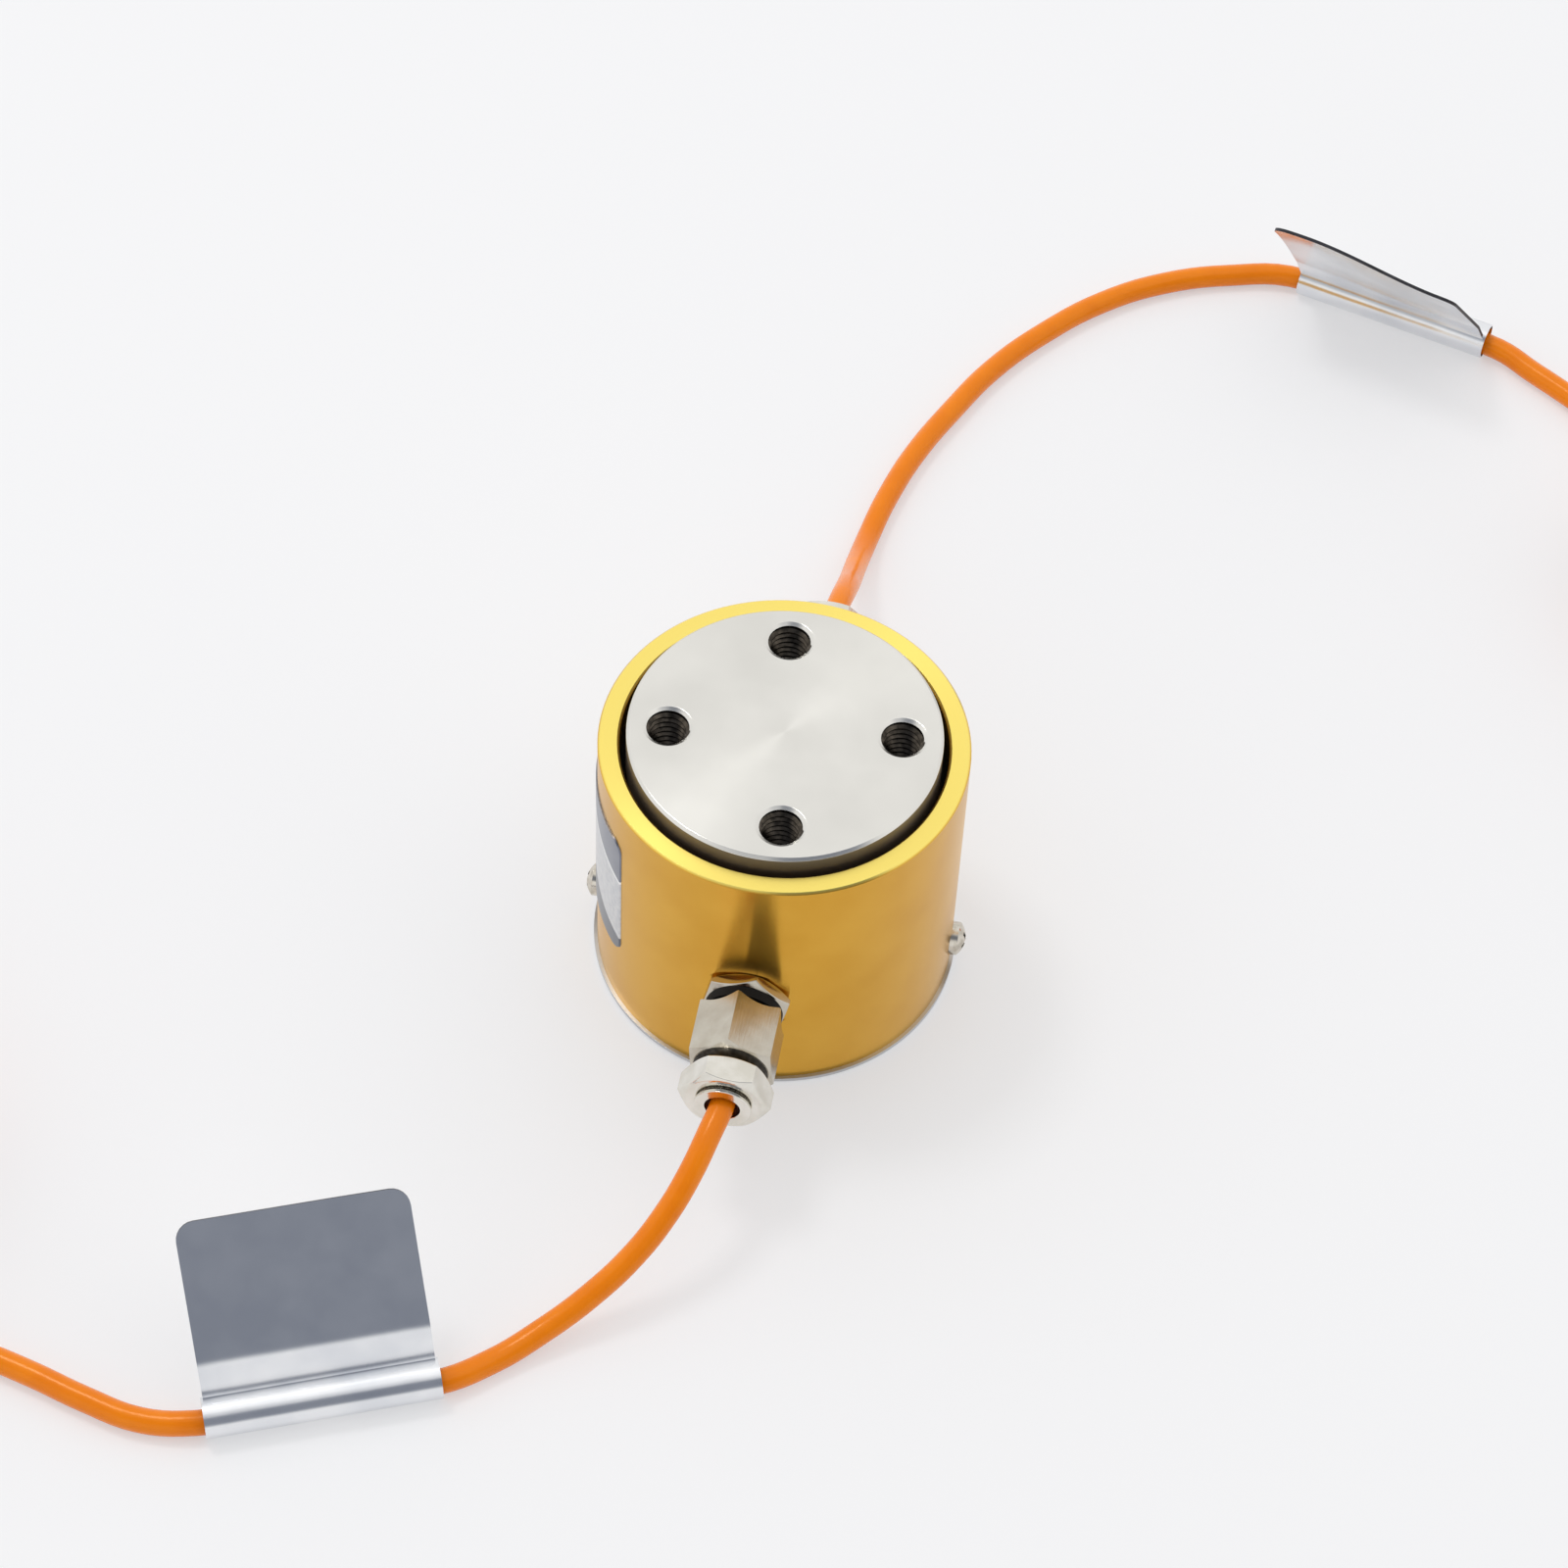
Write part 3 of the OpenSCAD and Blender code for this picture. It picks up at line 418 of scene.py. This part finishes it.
def moulded(name, shade_a, shade_b, roughness, grain):
    """Moulded rubber or plastic: one colour with slight clouding and a fine even grain."""
    material, tree, shader = new_material(name, Roughness=roughness)
    shader.inputs["Specular IOR Level"].default_value = 0.3
    tree.links.new(blend(tree, patches(tree, 8 * grain), shade_a, shade_b), shader.inputs["Base Color"])
    relief(tree, shader, patches(tree, grain), grain / 40)
    return material


def polyurethane_jacket():
    """Extruded polyurethane cable jacket: orange and satin, faintly uneven along its length."""
    material, tree, shader = new_material("polyurethane_jacket", Roughness=0.24)
    shader.inputs["Specular IOR Level"].default_value = 0.45
    shader.inputs["Specular Tint"].default_value = linear("#FFE4B8")
    tree.links.new(blend(tree, patches(tree, 6), "#F5860C", "#EF7E07"), shader.inputs["Base Color"])
    relief(tree, shader, patches(tree, 1.2), 0.01)
    return material


def metallised_film():
    """Metallised polyester label film: a smooth silver foil with slow waves from handling."""
    material, tree, shader = new_material("metallised_film", Metallic=1.0, Roughness=0.2)
    tree.links.new(blend(tree, patches(tree, 8), "#EDEEF0", "#E1E3E7"), shader.inputs["Base Color"])
    relief(tree, shader, patches(tree, 9, 0.2, 0.8, 1.0), 0.06)
    return material


def tinned_copper():
    """Tinned copper strands, twisted: bright grey with fine lines along the strand."""
    material, tree, shader = new_material("tinned_copper", Metallic=1.0, Roughness=0.3)
    tree.links.new(blend(tree, patches(tree, 0.4), "#C9C9C6", "#B4B3AE"), shader.inputs["Base Color"])
    relief(tree, shader, patches(tree, 0.12), 0.01)
    return material


def enamelled_copper():
    """Enamelled copper wire: red-brown metal under clear varnish."""
    material, tree, shader = new_material("enamelled_copper", Metallic=1.0, Roughness=0.25)
    tree.links.new(blend(tree, patches(tree, 0.5), "#B86A3A", "#A95E32"), shader.inputs["Base Color"])
    return material


def gauge_film():
    """Polyimide carrier film with an etched foil grid: amber with grey lines 0.6 mm apart."""
    material, tree, shader = new_material("gauge_film", Roughness=0.3)
    waves = add_node(tree, "ShaderNodeTexWave", {
        "Vector": object_place(tree), "Scale": math.pi / 10 / GRID_PITCH}, bands_direction="DIAGONAL")
    lines = step_at(tree, waves.outputs["Fac"], 0.45, 0.6)
    tree.links.new(blend(tree, lines, "#C98F3C", "#8E8A80"), shader.inputs["Base Color"])
    return material


def board_laminate():
    """Glass-epoxy board under green solder mask."""
    material, tree, shader = new_material("board_laminate", Roughness=0.28)
    tree.links.new(blend(tree, patches(tree, 4), "#14573A", "#1B6344"), shader.inputs["Base Color"])
    return material


def printed_plate():
    """Screen-printed aluminium foil: a slate panel above, bare silver below and a slate foot."""
    material, tree, shader = new_material("printed_plate", Metallic=0.85, Roughness=0.28)
    split = add_node(tree, "ShaderNodeSeparateXYZ", {0: object_place(tree)})
    # Height above a line that falls towards the front edge of the plate
    slope = add_node(tree, "ShaderNodeMath", {0: split.outputs["Y"], 1: PANEL_FALL}, operation="MULTIPLY")
    level = add_node(tree, "ShaderNodeMath", {
        0: split.outputs["Z"], 1: slope.outputs[0]}, operation="SUBTRACT").outputs[0]
    silver = blend(tree, patches(tree, 0.9, 0.4, 0.6), "#C9CBCE", "#D6D7D8")
    foot = step_at(tree, level, PANEL_FOOT + PRINT_SOFTNESS, PANEL_FOOT - PRINT_SOFTNESS)
    ground = blend(tree, foot, silver, "#6E727B")
    line_edge = PANEL_EDGE - PANEL_LINE
    line = step_at(tree, level, line_edge - PRINT_SOFTNESS, line_edge + PRINT_SOFTNESS)
    lined = blend(tree, line, ground, "#F4F4F4")
    panel = step_at(tree, level, PANEL_EDGE - PRINT_SOFTNESS, PANEL_EDGE + PRINT_SOFTNESS)
    slate = blend(tree, patches(tree, 6), "#7B7F8B", "#8A8D97")
    tree.links.new(blend(tree, panel, lined, slate), shader.inputs["Base Color"])
    relief(tree, shader, patches(tree, 0.3), 0.004)
    return material


# ------------------------------------------------------------------ pieces

def select_only(piece):
    """Selects one piece, leaves the others and makes it the active one."""
    bpy.ops.object.select_all(action="DESELECT")
    piece.select_set(True)
    bpy.context.view_layer.objects.active = piece


def edit(piece):
    """Opens a piece in edit mode with nothing selected."""
    select_only(piece)
    bpy.ops.object.mode_set(mode="EDIT")
    bpy.ops.mesh.select_all(action="DESELECT")


def done():
    """Leaves edit mode."""
    bpy.ops.object.mode_set(mode="OBJECT")


def select_points(piece, wanted):
    """Selects the points whose place passes the test, and says how many there are."""
    mesh = bmesh.from_edit_mesh(piece.data)
    bpy.ops.mesh.select_mode(type="VERT")
    bpy.ops.mesh.select_all(action="DESELECT")
    found = 0
    for point in mesh.verts:
        if wanted(point.co):
            point.select = True
            found += 1
    mesh.select_flush(True)
    bmesh.update_edit_mesh(piece.data)
    return found


def apply_modifier(piece, kind, **settings):
    """Adds a modifier and applies it."""
    bpy.context.view_layer.objects.active = piece
    modifier = piece.modifiers.new("shape", kind)
    for key, value in settings.items():
        setattr(modifier, key, value)
    bpy.ops.object.modifier_apply(modifier=modifier.name)


def smooth(piece, flatter_than=32):
    """Smooth shading over all but the sharp edges; the angle is in degrees."""
    select_only(piece)
    bpy.ops.object.transform_apply(location=True, rotation=True, scale=True)
    bpy.ops.object.shade_smooth_by_angle(angle=math.radians(flatter_than))


def finish(piece, material):
    """The finish, and the body that carries the piece."""
    piece.data.materials.clear()
    piece.data.materials.append(material)
    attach(piece, "root")
    return piece


def dress(node, material):
    """Gives a carried-over solid its finish."""
    piece = NODES[node]
    piece.data.materials.clear()
    piece.data.materials.append(material)


def copy_of(node, name):
    """A copy of a solid as a clean mesh, which then stands for the solid."""
    select_only(NODES[node])
    bpy.ops.object.duplicate()
    piece = bpy.context.object
    piece.name = name
    bpy.ops.mesh.customdata_custom_splitnormals_clear()
    edit(piece)
    bpy.ops.mesh.select_all(action="SELECT")
    bpy.ops.mesh.remove_doubles(threshold=MERGE)
    bpy.ops.mesh.dissolve_limited(angle_limit=FLAT_WITHIN)
    done()
    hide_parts(node)
    return piece


def break_edges(piece, width):
    """Breaks the sharp edges as a file or a tumbling drum does, and keeps the flats flat."""
    smooth(piece)
    apply_modifier(piece, "BEVEL", width=width, segments=2, limit_method="ANGLE",
                   angle_limit=math.radians(28), use_clamp_overlap=True, harden_normals=True)


def finished_copy(node, name, material, width):
    """A copy of a solid with broken edges of the given width and one finish."""
    piece = copy_of(node, name)
    break_edges(piece, width)
    return finish(piece, material)


def paint_faces(piece, material, chosen):
    """Gives the faces that pass the test a finish of their own."""
    piece.data.materials.append(material)
    index = len(piece.data.materials) - 1
    for face in piece.data.polygons:
        if chosen(face):
            face.material_index = index


def band(piece, heights):
    """Cuts level lines above and below the holes in a wall, so that its shading stays even."""
    edit(piece)
    for height in heights:
        bpy.ops.mesh.select_all(action="SELECT")
        bpy.ops.mesh.bisect(plane_co=(0, 0, height), plane_no=(0, 0, 1))
    done()


def dish_end(piece, outward_y):
    """Sinks a cone into the inner end of a gland's hexagon, so that its flats end in scallops."""
    bpy.ops.mesh.primitive_cone_add(
        vertices=64, radius1=DISH_R, radius2=DISH_R - DISH_SLOPE * DISH_DEEP, depth=DISH_DEEP,
        location=(0, outward_y * (GLAND_HEX_START + DISH_DEEP / 2 - HAIR), GLAND_Z),
        rotation=(-outward_y * math.pi / 2, 0, 0))
    cutter = bpy.context.object
    bpy.ops.object.transform_apply(location=True, rotation=True, scale=True)
    apply_modifier(piece, "BOOLEAN", operation="DIFFERENCE", object=cutter, solver="EXACT")
    bpy.data.objects.remove(cutter)


def turn_neck(piece, outward_y):
    """Turns the neck between a gland's hexagon and its nut to a cone and a groove, which are painted dark
    afterwards as painted shade.
    """
    edit(piece)
    bpy.ops.mesh.select_all(action="SELECT")
    bpy.ops.mesh.bisect(plane_co=(0, outward_y * NECK_GROOVE_Y, 0), plane_no=(0, 1, 0))
    for in_groove, radius in ((False, NECK_CONE_R), (True, NECK_GROOVE_R)):
        select_points(piece, lambda p: abs(math.hypot(p.x, p.z - GLAND_Z) - NECK_R) < NEAR
                      and (abs(p.y) > NECK_GROOVE_Y - 2 * NEAR) == in_groove)
        share = radius / NECK_R
        bpy.ops.transform.resize(value=(share, 1, share), center_override=(0, 0, GLAND_Z))
    done()


def from_gland_axis(face):
    """How far a face lies from the axis of the glands."""
    return math.hypot(face.center.x, face.center.z - GLAND_Z)


def in_recess(face):
    """Whether a face belongs to the cross recess of a screw that holds the sleeve."""
    inside = math.hypot(face.center.y, face.center.z - SCREW_Z) < RECESS_R
    return inside and (abs(face.normal.x) < RUNS_ALONG or abs(face.center.x) < RECESS_FLOOR_X)


def hole_centres():
    """Axes of the four mounting holes."""
    for quarter in range(4):
        angle = HOLE_TURN + quarter * math.pi / 2
        yield Vector((HOLE_CIRCLE_R * math.cos(angle), HOLE_CIRCLE_R * math.sin(angle), 0))


def darken_holes(piece, hole_shade_finish, face_z, inward):
    """Paints the walls and the bottoms of the tapped holes dark: painted shade in the holes."""
    def in_hole(face):
        deep = inward * (face.center.z - face_z) > HOLE_MOUTH_DEEP / 2
        away = [math.hypot(face.center.x - a.x, face.center.y - a.y) for a in hole_centres()]
        return deep and min(away) < THREAD_ROOT_R

    paint_faces(piece, hole_shade_finish, in_hole)


def coarsen_and_shade_side(piece, shaded_side_finish):
    """Gives the flange's turned side its own, coarser finish, painted darker and browner: painted shade
    of the gap and painted reflection of the gold sleeve.
    """
    paint_faces(piece, shaded_side_finish, lambda face: abs(face.normal.z) < RUNS_ALONG
                and math.hypot(face.center.x, face.center.y) > FLANGE_SIDE_R)


def open_holes(piece, face_z, inward):
    """Widens the tapped holes to the root of their thread and shapes the countersunk mouths."""
    edit(piece)
    mouth_z = face_z + inward * HOLE_MOUTH_DEEP
    for axis in hole_centres():
        def from_axis(place):
            return math.hypot(place.x - axis.x, place.y - axis.y)
        select_points(piece, lambda p: from_axis(p) < THREAD_CREST_R + 2 * NEAR
                      and abs(p.z - face_z) > HOLE_MOUTH_DEEP / 2)
        widen = THREAD_ROOT_R / THREAD_CREST_R
        bpy.ops.transform.resize(value=(widen, widen, 1), center_override=axis)
        select_points(piece, lambda p: from_axis(p) < THREAD_ROOT_R + 2 * NEAR
                      and abs(p.z - mouth_z) < NEAR)
        bpy.ops.transform.translate(value=(0, 0, -inward * MOUTH_RISE))
        select_points(piece, lambda p: from_axis(p) < HOLE_MOUTH_R + 2 * NEAR
                      and abs(p.z - face_z) < NEAR)
        bpy.ops.transform.resize(value=(MOUTH_SPREAD, MOUTH_SPREAD, 1), center_override=axis)
    done()


def add_threads(name, deepest_z, length, material):
    """Thread ridges for the four holes, swept from one trapezoid."""
    half_w = (THREAD_ROOT_R - THREAD_CREST_R) / 2 + THREAD_SINK
    middle_r = THREAD_CREST_R + half_w
    bpy.ops.mesh.primitive_plane_add(size=2, location=(middle_r, 0, deepest_z),
                                     rotation=(math.pi / 2, 0, 0))
    ridge = bpy.context.object
    ridge.scale = (half_w, RIDGE_HALF * THREAD_PITCH, 1)
    bpy.ops.object.transform_apply(location=True, rotation=True, scale=True)
    edit(ridge)
    select_points(ridge, lambda p: p.x < middle_r)
    bpy.ops.transform.resize(value=(1, 1, CREST_SHARE), center_override=(0, 0, deepest_z))
    bpy.ops.mesh.select_all(action="SELECT")
    bpy.ops.mesh.delete(type="ONLY_FACE")
    done()
    turns = int(length / THREAD_PITCH)
    apply_modifier(ridge, "SCREW", axis="Z", angle=2 * math.pi, screw_offset=THREAD_PITCH,
                   iterations=turns, steps=THREAD_STEPS, render_steps=THREAD_STEPS,
                   use_smooth_shade=True)
    edit(ridge)
    bpy.ops.mesh.select_all(action="SELECT")
    bpy.ops.mesh.remove_doubles(threshold=HAIR)
    bpy.ops.mesh.select_all(action="SELECT")
    bpy.ops.mesh.fill_holes(sides=4)
    bpy.ops.mesh.select_all(action="SELECT")
    bpy.ops.mesh.normals_make_consistent(inside=False)
    done()
    centres = list(hole_centres())
    copies = [ridge]
    for centre in centres[1:]:
        select_only(ridge)
        bpy.ops.object.duplicate()
        bpy.context.object.location = centre
        copies.append(bpy.context.object)
    ridge.location = centres[0]
    select_only(ridge)
    for each in copies:
        each.select_set(True)
    bpy.ops.object.join()
    ridge.name = name
    smooth(ridge)
    return finish(ridge, material)


def add_tag(node, name, film, edge_finish, start, end, lean, root, shaping):
    """A label folded round its cable: the film is cut into a fine grid and bent as by hand.

    start and end are places on the cable, lean is the film's slope in degrees. root is (ends,
    lift, reach): all that lies further out than ends is lifted square to itself, so that the
    film leaves its loop at another slope. shaping lists (along, out, lift, reach): at a place
    along the cable and out from it the film is lifted too, and what lies within reach follows.
    Lengths are in millimetres.
    """
    tag = copy_of(node, name)
    root_ends, root_lift, root_reach = root
    middle = (Vector(start) + Vector(end)) / 2 * MM
    middle.z = TAG_LOOP_R
    along = (Vector(end) - Vector(start)).normalized()
    level = Vector((-along.y, along.x, 0))
    tilt = math.radians(lean)
    outward = level * math.cos(tilt) + Vector((0, 0, 1)) * math.sin(tilt)
    square = along.cross(outward)
    edit(tag)
    for cut in range(-TAG_CUTS, TAG_CUTS + 1):
        bpy.ops.mesh.select_all(action="SELECT")
        bpy.ops.mesh.bisect(plane_co=middle + along * cut * MM, plane_no=along)
    for row in range(1, TAG_ROWS + 1):
        out = TAG_LOOP_END + TAG_ROW * row
        bpy.ops.mesh.select_all(action="SELECT")
        bpy.ops.mesh.bisect(plane_co=middle + outward * out * MM, plane_no=outward)

    def lift_film(wanted, lift, reach, falloff):
        if select_points(tag, wanted):
            bpy.ops.transform.translate(
                value=square * lift * MM, use_proportional_edit=True, use_proportional_connected=True,
                proportional_edit_falloff=falloff, proportional_size=reach * MM)

    lift_film(lambda p: (p - middle).dot(outward) > root_ends * MM, root_lift, root_reach,
              "LINEAR")
    for place_along, place_out, lift, reach in shaping:
        lift_film(lambda p: abs((p - middle).dot(outward) / MM - place_out) < TAG_ROW
                  and abs((p - middle).dot(along) / MM - place_along) < 1, lift, reach, "SMOOTH")
    done()
    smooth(tag, 50)
    finish(tag, film)

    def on_cut_edge(face):
        flat = (Vector(face.center) - middle).dot(outward) > TAG_EDGE_START
        return flat and abs(face.normal.dot(square)) < 0.5

    paint_faces(tag, edge_finish, on_cut_edge)
    return tag


# ------------------------------------------------------------------ stage

# Dim places of the surround: the way to each, and the cosines at which it begins and is fully dim
DIM_PLACES = (((-0.15, -0.52, 0.84), 0.88, 0.98), ((0.46, -0.68, 0.56), 0.84, 0.94))


def add_stage():
    """A pale matte floor that the sensor stands on."""
    bpy.ops.mesh.primitive_plane_add(size=40)
    floor = bpy.context.object
    floor.name = "floor"
    material, tree, shader = new_material("matte_paper", Roughness=0.9)
    shader.inputs["Base Color"].default_value = linear("#F8F8F9")
    shader.inputs["Specular IOR Level"].default_value = 0.1
    # To the camera and in reflections half of it is even paper white, which lightens the shadow
    rays = add_node(tree, "ShaderNodeLightPath")
    seen = add_node(tree, "ShaderNodeMath", {
        0: rays.outputs["Is Camera Ray"], 1: rays.outputs["Is Glossy Ray"]}, operation="MAXIMUM")
    share = add_node(tree, "ShaderNodeMath", {0: seen.outputs[0], 1: 0.5}, operation="MULTIPLY")
    even = add_node(tree, "ShaderNodeEmission", {"Color": linear("#F3F3F4"), "Strength": 1.0})
    mixed = add_node(tree, "ShaderNodeMixShader", {
        0: share.outputs[0], 1: shader.outputs[0], 2: even.outputs[0]})
    tree.links.new(mixed.outputs[0], tree.nodes["Material Output"].inputs["Surface"])
    floor.data.materials.append(material)


def add_softbox(name, place, size, watts):
    """A square soft light that faces the sensor's foot."""
    bpy.ops.object.light_add(type="AREA", location=place)
    lamp = bpy.context.object
    lamp.name = name
    lamp.data.size = size
    lamp.data.energy = watts
    lamp.rotation_euler = (-Vector(place)).to_track_quat("-Z", "Y").to_euler()


def add_light():
    """Soft boxes above and to the left, and a pale surround that is dim in two places in front."""
    add_softbox("top", (0.3, -0.1, 1.3), size=1.2, watts=0.6)
    add_softbox("key", (-0.46, 0.28, 1.18), size=0.28, watts=2.8)
    world = bpy.data.worlds.new("surround")
    bpy.context.scene.world = world
    world.use_nodes = True
    tree = world.node_tree
    towards = add_node(tree, "ShaderNodeTexCoord").outputs["Generated"]
    shares = []
    for direction, low, high in DIM_PLACES:
        middle = Vector(direction).normalized()
        near = add_node(tree, "ShaderNodeVectorMath", {0: towards, 1: middle}, operation="DOT_PRODUCT")
        shares.append(step_at(tree, near.outputs["Value"], low, high))
    dim = add_node(tree, "ShaderNodeMath", {0: shares[0], 1: shares[1]}, operation="MAXIMUM")
    colour = blend(tree, dim.outputs[0], "#FFFFFF", "#868B96")
    background = tree.nodes["Background"]
    tree.links.new(colour, background.inputs["Color"])
    background.inputs["Strength"].default_value = 0.97


# ------------------------------------------------------------------ making

add_camera()
front_cable = add_cable("front_cable_jacket", FRONT_ROUTE, "front_cable_coil", math.radians(270))
rear_cable = add_cable("rear_cable_jacket", REAR_ROUTE, "rear_cable_coil", math.radians(90))

gold = anodised_aluminium()
flange_steel = turned_steel("turned_steel", "#E6E4DE", "#DDDBD5", 0.22)
# The flange's side: rougher, and painted grey-brown as painted shade and painted reflection of the gold
# sleeve
shaded_side_steel = turned_steel("turned_side_in_shade", "#9C9184", "#8A7E70", 0.42)
base_steel = turned_steel("base_steel", "#C9CACC", "#BDBEC0", 0.34)
# Dark steel as painted shade: in the tapped holes, the neck under each gland nut, the groove behind its
# boss and the screws' cross recesses; a little lighter on the thread crests
painted_shade_steel = steel_in_painted_shade("steel_in_painted_shade", "#4A4640", "#34312D", 0.32)
shaded_crest_steel = steel_in_painted_shade("thread_crests", "#5A534A", "#35312C", 0.2)
nickel = nickel_plate("nickel_plate", "#EAE7DF", "#DAD6CB", 0.1)
# The gland body and locknut: the same nickel plate as the nut, rougher, and painted darker and warmer as
# painted shade and painted reflection of the gold sleeve
shaded_drawn_nickel = nickel_plate("shaded_drawn_nickel", "#C9C3B6", "#BBB3A4", 0.2)
screws = screw_steel()
oxide = black_oxide()
rubber = moulded("nitrile_rubber", "#101010", "#181716", 0.75, 0.2)
silicone = moulded("silicone_rubber", "#5A1B0D", "#4A150A", 0.5, 0.2)
black_nylon = moulded("black_nylon", "#151515", "#1D1D1D", 0.45, 0.4)
shrink_sleeve = moulded("shrink_sleeve", "#1A1A1A", "#232323", 0.4, 0.4)
core_insulation = moulded("core_insulation", "#D8D6CE", "#CFCDC4", 0.4, 0.3)
dark_adhesive = moulded("dark_adhesive", "#26262A", "#34343A", 0.5, 0.3)
jacket = polyurethane_jacket()
film = metallised_film()
plate = printed_plate()
strands = tinned_copper()
lead_wire = enamelled_copper()
gauges = gauge_film()
boards = board_laminate()

front_tag = add_tag("front_cable_tag", "front_label", film, dark_adhesive,
                    FRONT_ROUTE[15], FRONT_ROUTE[11], 44, (7.5, 1.6, 4.5), [(14, 24, 0.3, 10)])
rear_tag = add_tag("rear_cable_tag", "rear_label", film, dark_adhesive,
                   REAR_ROUTE[18], REAR_ROUTE[22], 127, (7.5, -0.7, 4.5),
                   [(-14, 24, -2.0, 24), (14, 24, 0.9, 10)])

for side, cable, tag, exit_y in (("front", front_cable, front_tag, -GLAND_TIP_Y),
                                 ("rear", rear_cable, rear_tag, GLAND_TIP_Y)):
    cable.data.materials.append(jacket)
    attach(cable, "root")
    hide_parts(side + "_cable", side + "_cable_coil", side + "_cable_tail")
    dress(side + "_end_sleeve", shrink_sleeve)
    dress(side + "_end_cores", strands)
    dress(side + "_core_wires", core_insulation)
    dress(side + "_terminal_board", boards)
    dress(side + "_gland_seal_ring", rubber)
    dress(side + "_gland_grommet", silicone)
    dress("strain_gauge_" + side, gauges)
    straps = finished_copy(side + "_coil_straps", side + "_strap_pair", black_nylon,
                           STRAP_EDGE)
    body = copy_of(side + "_gland_body", side + "_plated_body")
    dish_end(body, math.copysign(1, exit_y))
    turn_neck(body, math.copysign(1, exit_y))
    break_edges(body, SMALL_EDGE)
    finish(body, shaded_drawn_nickel)
    # The neck, groove and cone under the nut are painted dark: painted shade between the hexagon and the
    # nut
    paint_faces(body, painted_shade_steel, lambda face: abs(face.center.y) > NECK_CONE_Y
                and from_gland_axis(face) < NECK_DARK_R)
    finished_copy(side + "_gland_locknut", side + "_plated_locknut", shaded_drawn_nickel,
                  NUT_EDGE)
    nut = finished_copy(side + "_gland_nut", side + "_plated_nut", nickel, NUT_EDGE)
    # The groove behind the boss is painted dark: painted shade in the groove
    paint_faces(nut, painted_shade_steel, lambda face: from_gland_axis(face) < BOSS_GROOVE_R
                and BOSS_GROOVE_Y[0] < abs(face.center.y) < BOSS_GROOVE_Y[1])
for side in ("left", "right"):
    screw = finished_copy("sleeve_screw_" + side, "cross_head_" + side, screws,
                          SMALL_EDGE)
    # The cross recess is painted dark: painted shade in the recess
    paint_faces(screw, painted_shade_steel, in_recess)
    dress("strain_gauge_" + side, gauges)
dress("board_screws", screws)
dress("gauge_leads", lead_wire)
dress("element_screws", oxide)
dress("base_o_ring", rubber)
dress("gap_seal", rubber)
dress("nameplate", plate)

sleeve = copy_of("housing_sleeve", "gold_sleeve")
band(sleeve, SLEEVE_BANDS)
break_edges(sleeve, TURNED_EDGE)
finish(sleeve, gold)
flange = copy_of("sensing_element", "measuring_element")
open_holes(flange, FLANGE_TOP, -1)
break_edges(flange, TURNED_EDGE)
finish(flange, flange_steel)
darken_holes(flange, painted_shade_steel, FLANGE_TOP, -1)
coarsen_and_shade_side(flange, shaded_side_steel)
add_threads("flange_threads", FLANGE_TOP - FLANGE_THREAD_DEEP, FLANGE_THREAD_LENGTH,
            shaded_crest_steel)
base = copy_of("base_plate", "foot_plate")
open_holes(base, 0, 1)
break_edges(base, TURNED_EDGE)
finish(base, base_steel)
darken_holes(base, painted_shade_steel, 0, 1)
add_threads("base_threads", BASE_THREAD_START, BASE_THREAD_LENGTH, shaded_crest_steel)

add_stage()
add_light()
bpy.context.scene.view_settings.view_transform = "Standard"
